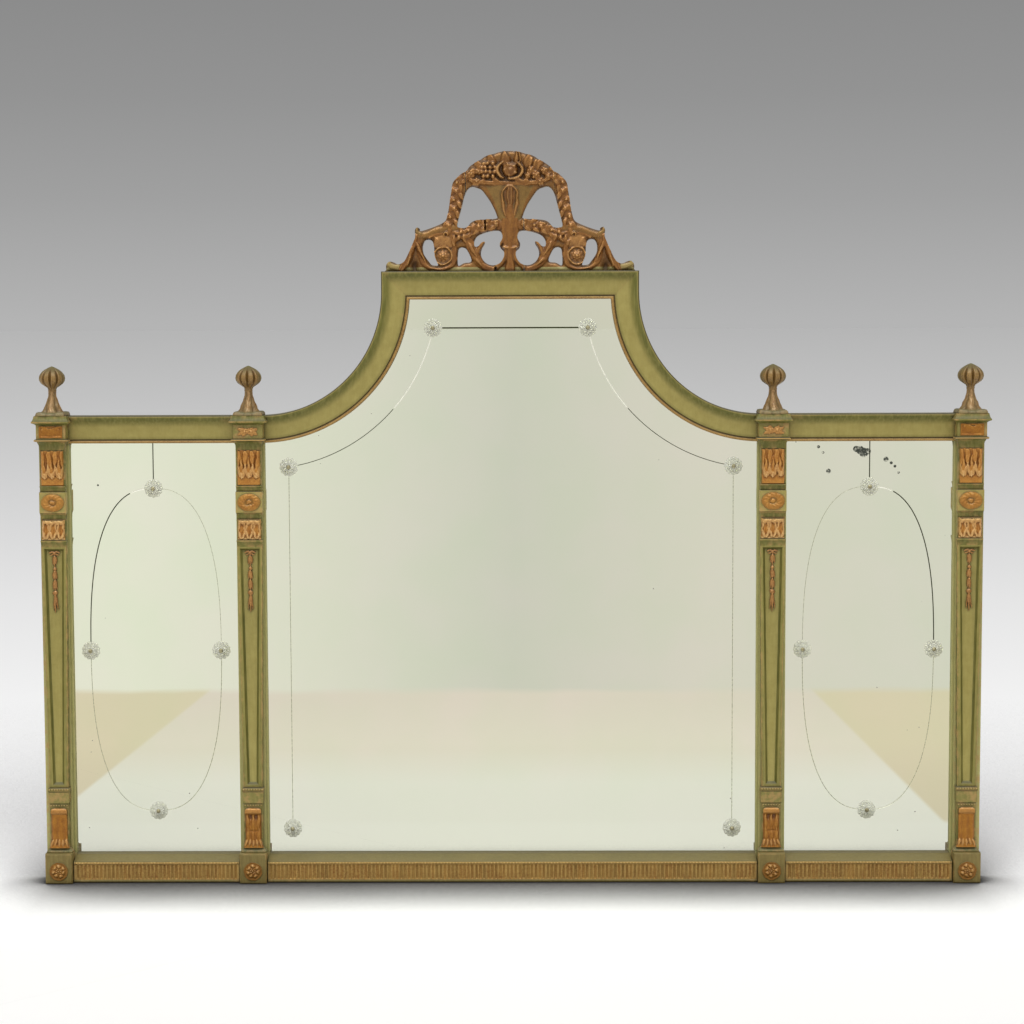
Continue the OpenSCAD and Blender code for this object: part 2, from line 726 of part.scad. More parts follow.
// A lobed bud on a four-leaved stem and a square plate
module finial(x) {
    neck = stem_neck_r;
    // Stem and bud are let into what is under them by this much
    sunk = 1;
    stem = [for (i = [0 : 5]) let (t = i / 5)
        [t * (stem_h + sunk / 2), neck + (stem_foot_r - neck) * pow(1 - t, 1.9), 0.22 * (1 - t)]];
    bud = [for (i = [0 : 8]) let (t = i / 8)
        [t * (bud_h + sunk), max(bud_r * pow(sin(180 * pow(t * 0.965 + 0.02, 0.86)), 0.75), 1.5),
            0.2 * sin(180 * t)]];
    color(bronze) translate([x, 0, z_cap]) {
        translate([-plate_w / 2, -plate_w / 2, 0]) cube([plate_w, plate_w, plate_h / 2]);
        translate([plate_step - plate_w / 2, plate_step - plate_w / 2, plate_h / 2])
            cube([plate_w - 2 * plate_step, plate_w - 2 * plate_step, plate_h / 2]);
        translate([0, 0, plate_h - sunk]) rotate(45) lobed(stem, 4, 4);
        translate([0, 0, plate_h + stem_h + sunk - collar_h])
            cylinder(h = collar_h, r = neck + 2, $fn = 32);
        translate([0, 0, plate_h + stem_h - sunk]) rotate(90) lobed(bud, bud_lobes, 3);
    }
}

// ----------------------------------------------------------------- plates

// Outline of a side plate's opening, grown past the sight edge
module side_opening(side, grow) {
    translate([side * side_mid_x, sight_foot - grow])
        bar(2 * (side_half_w + grow), sight_side_top - sight_foot + 2 * grow);
}

// Outline of the middle opening, grown past the sight edge
module centre_opening(grow) {
    difference() {
        translate([0, sight_foot - grow])
            bar(2 * (centre_half_w + grow), sight_crest_top - sight_foot + 2 * grow);
        for (side = [-1, 1]) translate([side * cove_x, cove_z])
            circle(sight_cove_r - grow, $fn = 180);
    }
}

// Rosettes stand on the engraved lines: [x, z] on the middle plate and on a side plate
border_x = centre_half_w - border_in;
border_r = cove_r + border_cove;
border_top = sight_crest_top - border_head_gap;
function across(reach) = sqrt(border_r * border_r - reach * reach);
centre_spots = [for (side = [-1, 1])
    each [[side * (cove_x - across(cove_z - border_top)), border_top],
        [side * border_x, cove_z - across(cove_x - border_x)],
        [side * border_x, border_foot]]];
oval_half_w = side_half_w - oval_in;
oval_head = sight_side_top - oval_head_gap;
oval_mid = (oval_foot + oval_head) / 2;
function side_spots(side) = [[side * side_mid_x, oval_head], [side * side_mid_x, oval_foot],
    [side * side_mid_x - oval_half_w, oval_mid], [side * side_mid_x + oval_half_w, oval_mid]];
all_spots = concat(side_spots(-1), centre_spots, side_spots(1));

module glass_holes(spots) {
    for (p = spots) translate([p[0], wall_y + through, p[1]]) rotate([90, 0, 0])
        cylinder(h = base_depth, r = rosette_screw_r + glass_hole_gap, $fn = 32);
}

grow_plate = lip_w - rebate_gap;
board_out = glass_out - glass_t;

module side_mirror(side) {
    color(silver) difference() {
        slab(board_out, glass_out) side_opening(side, grow_plate);
        glass_holes(side_spots(side));
    }
}

module centre_mirror() {
    color(silver) difference() {
        slab(board_out, glass_out) centre_opening(grow_plate);
        glass_holes(centre_spots);
    }
}

module side_board(side) {
    color(pine) slab(board_out - board_t, board_out) side_opening(side, grow_plate);
}

module centre_board() {
    color(pine) slab(board_out - board_t, board_out) centre_opening(grow_plate);
}

// Brads driven sideways into the stiles, lying on the backs of the boards
module backboard_brads() {
    rows = 4;
    end_gap = 60;
    low = sight_foot + end_gap;
    pitch = (sight_side_top - end_gap - low) / (rows - 1);
    color(steel) for (x = places) for (side = [-1, 1]) if (abs(x + side * half_stile) < outer_x)
        for (i = [0 : rows - 1])
            translate([x + side * (half_stile - lip_w - brad_l / 3),
                wall_y - board_out + board_t + brad_r, low + i * pitch])
                rotate([0, side * 90, 0]) cylinder(h = brad_l, r = brad_r, $fn = 16);
}

// A flower of two rows of petals with a hole for its screw
module glass_rosette(spot) {
    petal_r = rosette_r * 0.3;
    translate([spot[0], 0, spot[1]]) {
        for (row = [0, 1]) slab(glass_out + row * petal_t, glass_out + (row + 1) * petal_t) {
            reach = (rosette_r - petal_r) * (row == 0 ? 1 : 0.55);
            difference() {
                union() {
                    circle(reach, $fn = 48);
                    for (i = [0 : petals - 1]) rotate((i + row / 2) * 360 / petals)
                        translate([reach, 0]) circle(petal_r * (1 - 0.3 * row), $fn = 32);
                }
                circle(rosette_screw_r + glass_hole_gap, $fn = 32);
            }
        }
    }
}

module glass_rosettes() {
    color(cut_glass) for (spot = all_spots) glass_rosette(spot);
}

// Screws with domed heads, one in the eye of each rosette
module rosette_screws() {
    r = rosette_screw_r;
    rim = 1;
    dome = 1.4;
    color(brass) for (spot = all_spots)
        translate([spot[0], wall_y - glass_out - 2 * petal_t, spot[1]]) rotate([90, 0, 0]) {
            translate([0, 0, -rosette_screw_l]) cylinder(h = rosette_screw_l, r = r, $fn = 32);
            cylinder(h = rim, r = r * 1.8, $fn = 32);
            translate([0, 0, rim]) cylinder(h = dome, r1 = r * 1.8, r2 = r, $fn = 32);
        }
}

// ------------------------------------------------------------------ crest

// The crest is drawn in real sizes on its own half width and height, then fitted to
// the named width and height. Points are [out from the middle, height, radius].
drawn_half = 215;
drawn_h = 205;
crest_kx = crest_w / 2 / drawn_half;
crest_kz = crest_h / drawn_h;
// The leafwork is rounded in steps, each drawn in further than the one behind it
pillow_steps = 3;
pillow_draw = 0.4;
// Radius of the finest carving tool
tool_r = 0.4;
// The basket block ends at these distances, where the scrollwork is glued on
block_low = 24;
block_high = 76;
block_step = 125;

// A stalk or roll of leafage: the outline of a path whose points carry a radius
module stroke(points, steps = 3) {
    path = smooth([for (p = points) [p[0] * crest_kx, p[1] * crest_kz, p[2]]], steps);
    last = len(path) - 1;
    polygon([
        for (i = [0 : last]) let (t = heading(path, i), r = path[i][2])
            [path[i][0] - t[1] * r, path[i][1] + t[0] * r],
        for (i = [last : -1 : 0]) let (t = heading(path, i), r = path[i][2])
            [path[i][0] + t[1] * r, path[i][1] - t[0] * r]]);
    for (i = [0, last]) translate([path[i][0], path[i][1]]) circle(path[i][2], $fn = 12);
}

// A pointed leaf that grows from a point at an angle
module sprig(at, angle, length, width) {
    translate([at[0] * crest_kx, at[1] * crest_kz]) rotate(angle - 90)
        leaf_outline(length, width);
}

// A ring of petals
module flower(at, r, count) {
    translate([at[0] * crest_kx, at[1] * crest_kz]) for (i = [0 : count - 1])
        rotate(i * 360 / count) translate([r * 0.62, 0]) circle(r * 2.3 / count, $fn = 20);
}

// A cluster of berries in rows that narrow downwards
module berries(at, rows, r) {
    for (row = [0 : rows - 1]) for (i = [0 : rows - row - 1])
        translate([(at[0] + (i - (rows - row - 1) / 2) * r * 2.1) * crest_kx,
            (at[1] - row * r * 1.9) * crest_kz]) circle(r, $fn = 20);
}

module scroll_outline() {
    // Ground along the rail and the curled end
    stroke([[20, 3, 5], [70, 2, 5], [120, 1.5, 5], [160, 2, 5], [205, 3, 5]]);
    stroke([[184, 6, 8], [196, 7, 6], [206, 9, 5], [210, 13, 4], [207, 17, 3], [202, 14, 2]]);
    // Corner leaf with its inner stem and curl
    stroke([[176, 3, 10], [174, 20, 9], [169, 40, 8], [164, 55, 7], [162, 66, 4], [165, 73, 1]]);
    stroke([[166, 2, 8], [160, 18, 8], [155, 36, 7], [152, 50, 7], [144, 60, 7], [128, 66, 8]]);
    stroke([[162, 14, 6], [152, 12, 5], [144, 14, 4], [139, 18, 2]]);
    // Top bar, strut beside the rosette and the long stalk down to the basket's foot
    stroke([[163, 64, 6], [147, 66, 7], [130, 70, 8], [113, 74, 9], [98, 72, 9], [84, 68, 8]]);
    stroke([[94, 3, 5], [94, 20, 5], [95, 36, 6], [96, 54, 8]]);
    stroke([[98, 66, 10], [84, 60, 12], [72, 52, 11], [64, 38, 9], [58, 25, 9], [49, 13, 9],
        [36, 8, 7], [20, 8, 6]]);
    stroke([[57, 24, 7], [52, 35, 6], [47, 44, 4.5], [42, 50, 2]]);
    // Short swag from the basket's neck, and the festoon from its flowers
    stroke([[18, 80, 9], [36, 79, 10], [50, 76, 11], [64, 72, 13], [76, 64, 12], [88, 62, 10]]);
    stroke([[66, 160, 15], [78, 152, 14], [86, 140, 13], [91, 124, 11.5], [94, 108, 9.5],
        [98, 94, 9], [103, 82, 10], [107, 72, 8]]);
    stroke([[92, 4, 3], [80, 8, 4.5], [70, 15, 2]]);
    // Cup of the rosette and the fan above it
    translate([115 * crest_kx, 30 * crest_kz]) circle(18, $fn = 48);
    for (i = [0 : 4]) sprig([114, 42], 30 + 30 * i, 30, 13);
    // Fronds of the corner leaf and leaves along the festoon
    for (i = [0 : 3]) sprig([174 - 3 * i, 4 + 12 * i], 40 + 9 * i, 26, 10);
    for (i = [0 : 3]) sprig([90 + 3 * i, 150 - 18 * i], -52 - 6 * i, 24, 11);
}

// What stands proud of the scrollwork: petals, leaf ribs and bindings
module scroll_relief() {
    flower([115, 30], 16, 10);
    translate([114 * crest_kx, 46 * crest_kz]) circle(3.5, $fn = 20);
    for (i = [0 : 4]) sprig([114, 46], 34 + 28 * i, 24, 7);
    stroke([[173, 10, 2.6], [170, 30, 2.4], [165, 48, 2], [163, 60, 1]]);
    stroke([[163, 10, 2.4], [157, 30, 2.4], [152, 47, 2.2], [140, 62, 2]]);
    stroke([[158, 67, 2], [140, 71, 2.4], [118, 76, 2.6], [98, 75, 2]]);
    for (i = [0 : 4]) sprig([76 + 5 * i, 158 - 15 * i], -62 - 6 * i, 19, 9);
    for (i = [0 : 3]) sprig([34 + 13 * i, 80 - 3 * i], 165 - 4 * i, 16, 9);
    for (i = [0 : 3]) sprig([74 - 5 * i, 54 - 11 * i], -50 - 5 * i, 15, 7);
    translate([82 * crest_kx, 60 * crest_kz]) circle(3, $fn = 20);
    for (i = [0 : 2]) sprig([82, 60], 20 + 45 * i, 16, 8);
}

module basket_outline() {
    stroke([[0, -4, 26], [0, 6, 22], [0, 16, 13], [0, 28, 10], [0, 44, 10], [0, 60, 14],
        [0, 80, 19], [0, 100, 22], [0, 118, 27], [0, 134, 35], [0, 146, 44], [0, 149, 46]]);
    stroke([[-78, 158, 11], [-62, 166, 15], [-40, 172, 19], [-20, 178, 21], [0, 181, 24],
        [20, 178, 21], [40, 172, 19], [62, 166, 15], [78, 158, 11]]);
    for (side = [-1, 1]) {
        stroke([[0, 3, 5], [side * 16, 3, 5], [side * 30, 3, 5]]);
        stroke([[side * 7, 54, 5], [side * 15, 46, 4], [side * 16, 38, 2.5]]);
        stroke([[side * 6, 30, 6], [side * 14, 15, 8], [side * 30, 8, 7]]);
        stroke([[side * 14, 80, 8], [side * 30, 79, 9.5]]);
        for (i = [0 : 3]) sprig([side * (6 + 15 * i), 184 - 5 * i],
            90 - side * (52 + 12 * i), 28, 13);
    }
}

// What stands proud of the basket: rim, leaf, flowers and fruit
module basket_relief() {
    stroke([[-46, 151, 3], [0, 149, 3.4], [46, 151, 3]]);
    flower([0, 174], 16, 9);
    translate([0, 174 * crest_kz]) circle(4, $fn = 24);
    sprig([0, 48], 90, 88, 15);
    for (side = [-1, 1]) {
        sprig([side * 4, 52], 90 - side * 14, 66, 10);
        sprig([side * 3, 40], 270 + side * 16, 34, 8);
        flower([side * 62, 167], 11, 7);
        berries([side * 36, 178], 3, 4.4);
        for (i = [0 : 3]) sprig([side * (8 + 14 * i), 187 - 4 * i],
            90 - side * (50 + 14 * i), 20, 7);
    }
}

// Elevation of the block that holds the basket
module block_outline() {
    bar(2 * block_low * crest_kx, block_step * crest_kz);
    bar(2 * block_high * crest_kx, crest_h - block_step * crest_kz, block_step * crest_kz);
}

// Elevation of the blank that one side's scrollwork is carved from
module side_outline() {
    difference() {
        square([crest_w / 2, crest_h]);
        block_outline();
    }
}

// Carves an outline as a pillow: a flat back, then steps that draw in towards the front.
// The first child is the outline, the second its blank and the third what stands proud.
module carved(back, front) {
    belly = back + (front - back) * 0.45;
    rise = (front - belly) / pillow_steps;
    slab(back, belly) fair() intersection() { children(0); children(1); }
    for (i = [1 : pillow_steps]) slab(belly + (i - 1) * rise, belly + i * rise) fair() {
        intersection() { offset(delta = -pillow_draw * i * i) children(0); children(1); }
        proud_part() { children(0); children(1); children(2); }
    }
    slab(front, front + relief_proud) fair() proud_part() { children(0); children(1); children(2); }
}

// Rounds off notches and whiskers finer than a carver's tool
module fair() {
    offset(delta = tool_r) offset(delta = -2 * tool_r) offset(delta = tool_r) children();
}

// What stands proud, kept a little inside the outline
module proud_part() {
    intersection() {
        offset(delta = -1) children(0);
        children(1);
        children(2);
    }
}
module crest_basket() {
    color(bronze) translate([0, 0, crest_rail_top])
        carved(crest_out - crest_half_t, crest_out + crest_half_t + basket_proud) {
            basket_outline();
            block_outline();
            basket_relief();
        }
}

module crest_scroll(side) {
    color(bronze) translate([0, 0, crest_rail_top]) mirror([side > 0 ? 0 : 1, 0, 0])
        carved(crest_out - crest_half_t, crest_out + crest_half_t) {
            scroll_outline();
            side_outline();
            scroll_relief();
        }
}

// ---------------------------------------------------------------- hangers

eye_r = wire_r + eye_gap;
pivot_y = wall_y + strap_t + eye_r;
screw_drops = [18, 34, 50];

// A strap rolled into an eye at its head and drilled for countersunk screws
module hanger_strap(x) {
    color(brass) translate([x, 0, hanger_z]) difference() {
        union() {
            translate([-strap_w / 2, wall_y, -strap_l]) cube([strap_w, strap_t, strap_l]);
            translate([-strap_w / 2, pivot_y, 0]) rotate([0, 90, 0])
                cylinder(h = strap_w, r = eye_r + strap_t, $fn = 48);
        }
        translate([-strap_w / 2 - through, pivot_y, 0]) rotate([0, 90, 0])
            cylinder(h = strap_w + 2 * through, r = eye_r, $fn = 48);
        for (z = screw_drops) translate([0, wall_y - through, -z]) rotate([-90, 0, 0]) {
            cylinder(h = strap_t + 2 * through, r = hanger_screw_r + strap_hole_gap, $fn = 32);
            translate([0, 0, through]) cylinder(h = 2 * strap_t,
                r1 = hanger_screw_r + strap_hole_gap,
                r2 = hanger_screw_r + strap_hole_gap + 2 * strap_t, $fn = 32);
        }
    }
}

// A closed D of wire: a straight bar in the eye, two sides and a half round
module hanger_ring(x) {
    half = ring_w / 2;
    corner = 3;
    straight = ring_h - half;
    module wire() { circle(wire_r, $fn = 24); }
    color(steel) translate([x, pivot_y, hanger_z]) {
        translate([corner - half, 0, 0]) rotate([0, 90, 0]) linear_extrude(ring_w - 2 * corner) wire();
        for (side = [-1, 1]) {
            translate([side * (half - corner), 0, -corner]) rotate([90, 0, 0])
                rotate_extrude(angle = 90, start = side > 0 ? 0 : 90, $fn = 48)
                translate([corner, 0]) wire();
            translate([side * half, 0, -straight]) linear_extrude(straight - corner) wire();
        }
        translate([0, 0, -straight]) rotate([90, 0, 0])
            rotate_extrude(angle = 180, start = 180, $fn = 96) translate([half, 0]) wire();
    }
}

// Countersunk screws that hold the straps to the inner stiles
module hanger_screws() {
    color(steel) for (x = [-inner_x, inner_x]) for (z = screw_drops)
        translate([x, wall_y + strap_t, hanger_z - z]) rotate([90, 0, 0]) {
            cylinder(h = strap_t, r1 = hanger_screw_r + strap_t, r2 = hanger_screw_r, $fn = 32);
            cylinder(h = hanger_screw_l, r = hanger_screw_r, $fn = 32);
        }
}

// ---------------------------------------------------------------- assembly

stile(-outer_x, [1]);  // stile_outer_left
stile(-inner_x, [-1, 1]);  // stile_inner_left
stile(inner_x, [-1, 1]);  // stile_inner_right
stile(outer_x, [-1]);  // stile_outer_right
shaft(-outer_x);  // shaft_outer_left
shaft(-inner_x);  // shaft_inner_left
shaft(inner_x);  // shaft_inner_right
shaft(outer_x);  // shaft_outer_right
capital(-outer_x, -1);  // capital_outer_left
capital(-inner_x, 0);  // capital_inner_left
capital(inner_x, 0);  // capital_inner_right
capital(outer_x, 1);  // capital_outer_right
base_block(-outer_x);  // base_block_outer_left
base_block(-inner_x);  // base_block_inner_left
base_block(inner_x);  // base_block_inner_right
base_block(outer_x);  // base_block_outer_right
finial(-outer_x);  // finial_outer_left
finial(-inner_x);  // finial_inner_left
finial(inner_x);  // finial_inner_right
finial(outer_x);  // finial_outer_right
leaf_panel(-outer_x);  // leaf_panel_outer_left
leaf_panel(-inner_x);  // leaf_panel_inner_left
leaf_panel(inner_x);  // leaf_panel_inner_right
leaf_panel(outer_x);  // leaf_panel_outer_right
foot_leaf(-outer_x);  // foot_leaf_outer_left
foot_leaf(-inner_x);  // foot_leaf_inner_left
foot_leaf(inner_x);  // foot_leaf_inner_right
foot_leaf(outer_x);  // foot_leaf_outer_right
for (x = places) husk_drop(x);  // husk_drops
for (x = places) oval_patera(x);  // oval_pateras
for (x = places) leaf_band(x);  // leaf_bands
for (x = places) frieze_ornament(x);  // frieze_ornaments
for (x = places) base_rosette(x);  // base_rosettes
side_rail(-1);  // side_rail_left
side_rail(1);  // side_rail_right
cove_rail(-1);  // cove_rail_left
cove_rail(1);  // cove_rail_right
crest_rail();
base_rail(-side_mid_x, side_half_w);  // base_rail_left
base_rail(0, centre_half_w);  // base_rail_centre
base_rail(side_mid_x, side_half_w);  // base_rail_right
side_mirror(-1);  // mirror_left
centre_mirror();  // mirror_centre
side_mirror(1);  // mirror_right
side_board(-1);  // backboard_left
centre_board();  // backboard_centre
side_board(1);  // backboard_right
backboard_brads();
glass_rosettes();
rosette_screws();
crest_basket();
crest_scroll(-1);  // crest_scroll_left
crest_scroll(1);  // crest_scroll_right
hanger_strap(-inner_x);  // hanger_strap_left
hanger_strap(inner_x);  // hanger_strap_right
hanger_ring(-inner_x);  // hanger_ring_left
hanger_ring(inner_x);  // hanger_ring_right
hanger_screws();
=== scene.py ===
"""Looks of the overmantel mirror. Lengths in the shape code are in millimetres: x to the
viewer's right, out forward from the wall side of the frame, and z up from the shelf."""
import copy
import math

import bpy
import numpy as np
from mathutils import Matrix, Vector


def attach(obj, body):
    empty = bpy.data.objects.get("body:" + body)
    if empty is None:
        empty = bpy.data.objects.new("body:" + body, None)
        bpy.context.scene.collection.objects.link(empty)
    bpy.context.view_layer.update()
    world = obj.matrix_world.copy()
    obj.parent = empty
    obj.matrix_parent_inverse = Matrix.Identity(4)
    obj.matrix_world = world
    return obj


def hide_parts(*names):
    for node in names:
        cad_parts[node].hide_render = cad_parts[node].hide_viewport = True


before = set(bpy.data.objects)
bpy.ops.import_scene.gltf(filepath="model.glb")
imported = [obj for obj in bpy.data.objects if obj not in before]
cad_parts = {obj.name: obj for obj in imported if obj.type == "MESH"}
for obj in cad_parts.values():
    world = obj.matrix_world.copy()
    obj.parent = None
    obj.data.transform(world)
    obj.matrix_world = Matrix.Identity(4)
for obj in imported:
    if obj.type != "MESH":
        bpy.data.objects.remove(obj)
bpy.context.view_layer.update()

# ------------------------------------------------------------------ sizes
MM = 0.001
WALL = 29.0
OUTER, INNER = 790.0, 451.0
PLACES = {"outer_left": -OUTER, "inner_left": -INNER, "inner_right": INNER, "outer_right": OUTER}
SIDE_MID, SIDE_HALF, CENTRE_HALF = 620.5, 144.5, 426.0
SIGHT_FOOT, SIGHT_SIDE, SIGHT_CREST = 49.5, 767.0, 1013.0
RAIL_W = 48.0
COVE_X, COVE_Z, SIGHT_COVE_R = 432.0, 1026.0, 259.0
CREST_TOP, CREST_HALF = 1061.0, 221.0
STILE_OUT, SHAFT_OUT, GLASS_BACK, GLASS_OUT = 30.0, 42.0, 9.0, 14.0
GLASS_HIDDEN = 5.5  # how far a plate runs under the mouldings
Z_FOOT_LEAF, Z_BEADS, Z_LEDGE, Z_TAPER = 61.0, 132.0, 160.0, 167.0
Z_HEAD, Z_BAND, Z_NECK_LOW, Z_OVAL, Z_NECK_HIGH, Z_LEAF = 597.5, 600.5, 637.5, 647.5, 684.5, 694.5
Z_CAP_NECK, Z_FRIEZE, Z_CAP = 756.5, 775.5, 815.5
SHAFT_HEAD_W, SHAFT_FOOT_W = 43.0, 33.0
BORDER_R = 305.0
TOP_SPOT, HIGH_SPOT, LOW_SPOT = (133.44, 964.0), (385.0, 724.65), (385.0, 89.0)
CENTRE_SPOTS = [(s * x, z) for s in (-1, 1) for x, z in (TOP_SPOT, HIGH_SPOT, LOW_SPOT)]
SPOT_CLEAR = 14.8
OVAL_HALF_W, OVAL_HEAD, OVAL_FOOT = 114.0, 688.0, 121.0
OVAL_MID = (OVAL_HEAD + OVAL_FOOT) / 2
OVAL_POWER = 2.55


def side_spots(side):
    mid = side * SIDE_MID
    return [(mid, OVAL_HEAD), (mid, OVAL_FOOT), (mid - OVAL_HALF_W, OVAL_MID),
            (mid + OVAL_HALF_W, OVAL_MID)]


# What a vertex carries for the paint: share of gilding, of khaki wash and of darkening, which stands for
# dirt and painted shade
GREEN, KHAKI, OLIVE, GRIME_AND_SHADE = (0, 0, 0), (0, 1, 0), (0, 0.6, 0), (0, 0.2, 1)
EDGE_WORN = (0.35, 0.5, 0)


# --------------------------------------------------------------- materials
def srgb(r, g, b):
    """A colour given as 0 to 255, as the linear values that sockets take."""
    return tuple(c / 255 / 12.92 if c <= 10 else ((c / 255 + 0.055) / 1.055) ** 2.4
                 for c in (r, g, b)) + (1.0,)


class Nodes:
    """A small language for node trees."""

    def __init__(self, tree):
        self.tree = tree

    def add(self, kind, inputs=(), **settings):
        node = self.tree.nodes.new("ShaderNode" + kind)
        for key, value in settings.items():
            setattr(node, key, value)
        return self.fill(node, dict(inputs))

    def fill(self, node, inputs):
        for key, value in inputs.items():
            if isinstance(value, bpy.types.NodeSocket):
                self.tree.links.new(value, node.inputs[key])
            else:
                node.inputs[key].default_value = value
        return node

    def surface(self, inputs):
        self.fill(self.tree.nodes["Principled BSDF"], inputs)

    def place(self):
        return self.add("TexCoord").outputs["Object"]

    def math(self, operation, a, b=0.0, clamp=False):
        return self.add("Math", {0: a, 1: b}, operation=operation, use_clamp=clamp).outputs[0]

    def plus(self, a, b):
        return self.math("ADD", a, b)

    def less(self, a, b):
        return self.math("SUBTRACT", a, b)

    def times(self, a, b, clamp=False):
        return self.math("MULTIPLY", a, b, clamp)

    def over(self, a, b):
        return self.math("DIVIDE", a, b)

    def most(self, a, b):
        return self.math("MAXIMUM", a, b)

    def mix(self, factor, a, b, blend="MIX"):
        node = self.add("Mix", {"Factor": factor, 6: a, 7: b}, data_type="RGBA", blend_type=blend)
        return node.outputs[2]

    def noise(self, scale, detail, roughness, vector, stretch=None):
        if stretch:
            vector = self.add("Mapping", {"Vector": vector, "Scale": stretch}).outputs[0]
        return self.add("TexNoise", {"Scale": scale, "Detail": detail, "Roughness": roughness,
                                     "Vector": vector}).outputs["Fac"]

    def span(self, value, low, high, to_low=0.0, to_high=1.0):
        return self.add("MapRange", {"Value": value, "From Min": low, "From Max": high,
                                     "To Min": to_low, "To Max": to_high}).outputs[0]

    def bump(self, strength, distance, height):
        values = {"Strength": strength, "Distance": distance, "Height": height}
        return self.add("Bump", values).outputs[0]

    def ramp(self, value, stops):
        """A colour ramp. A stop is a place with one grey or three values, 0 to 255."""
        node = self.add("ValToRGB", {"Fac": value})
        elements = node.color_ramp.elements
        while len(elements) < len(stops):
            elements.new(0.5)
        for element, (at, *grey) in zip(elements, stops):
            element.position = at
            element.color = srgb(*(grey if len(grey) == 3 else grey * 3))
        return node.outputs["Color"]


def material(name):
    made = bpy.data.materials.new(name)
    made.use_nodes = True
    return made, Nodes(made.node_tree)


def aged_finish(name, paint, wash, gold, bole, pale, tone_all=0.0, seed=0.0, metal=0.45, rough=0.42,
                dust=((92, 92, 70), (112, 104, 74)), soil_and_shade_colour=(48, 38, 14), speckle=0.75):
    """Old oil paint and water gilding on carved wood: the finish attribute says which shows.
    Creases and hollows are darkened with dirt and painted shade, dust lies on tops, painted edges are
    rubbed through and gilt edges are lightened as rubbed gold and painted highlight. Colours are 0 to 255."""
    made, n = material(name)
    paint, wash, gold, dust, (bole, pale, soil_and_shade_colour) = (
        [srgb(*colour) for colour in group] for group in (paint, wash, gold, dust,
                                                          (bole, pale, soil_and_shade_colour)))
    place = n.place()
    spot = n.add("Mapping", {"Vector": place, "Location": (seed, seed * 0.7, 0)}).outputs[0]
    finish = n.add("SeparateXYZ", {0: n.add("Attribute", attribute_name="finish").outputs["Vector"]})
    gilt, tone, grime_and_shade = finish.outputs
    if tone_all:
        tone = n.most(tone, tone_all)
    broad, mid, fine = (n.noise(*values, spot) for values in ((14, 4, 0.6), (70, 5, 0.65), (420, 4, 0.6)))
    brush = n.noise(260, 3, 0.5, spot, (1, 1, 0.12))
    geometry = n.add("NewGeometry")
    edge = n.span(geometry.outputs["Pointiness"], 0.52, 0.60)
    # Ambient occlusion finds the creases, which are darkened as dirt and painted shade
    cleft = n.add("AmbientOcclusion", {"Distance": 0.007}, samples=6).outputs["AO"]
    dark = n.span(cleft, 0.35, 0.95, 1.0, 0.0)
    normal = n.add("SeparateXYZ", {0: geometry.outputs["Normal"]})
    tops = n.span(normal.outputs[2], 0.35, 0.9)
    backs = n.span(normal.outputs[1], 0.8, 0.95)
    # Paint
    colour = n.mix(n.span(broad, 0.35, 0.65), paint[0], paint[1])
    washed = n.mix(n.span(mid, 0.3, 0.7), wash[0], wash[1])
    colour = n.mix(tone, colour, washed)
    colour = n.mix(n.times(n.span(brush, 0.42, 0.7), 0.25), colour, srgb(170, 158, 92))
    rubbed = n.times(edge, n.span(mid, 0.45, 0.6))
    colour = n.mix(n.times(rubbed, 0.7), colour, srgb(176, 140, 84))
    # Gilding over red bole
    leaf = n.mix(n.span(mid, 0.36, 0.68), gold[0], gold[1])
    worn = n.times(n.span(fine, 0.46, 0.62), n.span(broad, 0.3, 0.62))
    leaf = n.mix(tone, leaf, pale)
    leaf = n.mix(n.times(worn, speckle), leaf, bole)
    # Gilt edges are lightened to the third gold colour: rubbed gold and painted highlight
    leaf = n.mix(n.times(edge, 0.7), leaf, gold[2])
    flaked = n.span(n.plus(fine, n.times(mid, 0.6)), 0.50, 0.62, 0.72, 1.0)
    share = n.times(gilt, flaked, clamp=True)
    colour = n.mix(share, colour, leaf)
    # Darkening by dirt and painted shade in creases, dust on tops and bare backs
    soil_and_shade = n.most(n.times(dark, n.span(fine, 0.25, 0.6, 0.55, 1.0)), grime_and_shade)
    colour = n.mix(n.times(soil_and_shade, 0.86), colour, soil_and_shade_colour)
    colour = n.mix(n.times(tops, 0.72), colour, n.mix(broad, *dust))
    bare_wood = n.mix(n.noise(30, 6, 0.7, spot, (6, 6, 0.3)), srgb(128, 92, 54), srgb(170, 132, 86))
    colour = n.mix(backs, colour, bare_wood)
    bare = n.less(1.0, backs)
    shown = n.times(n.times(share, bare), n.less(1.0, n.times(soil_and_shade, 0.7)))
    n.surface({
        "Base Color": colour, "Metallic": n.times(shown, metal),
        "Roughness": n.plus(n.span(fine, 0.3, 0.7, rough - 0.07, rough + 0.12),
                            n.times(n.less(1.0, shown), 0.12)),
        "Normal": n.bump(0.22, 0.0008, n.plus(n.times(brush, 0.5), fine))})
    return made


GREEN_PAINT = (84, 85, 18), (102, 100, 30)
KHAKI_WASH = (146, 134, 68), (160, 148, 80)
BRONZE_GOLD = (122, 78, 32), (152, 104, 48), (208, 162, 94)

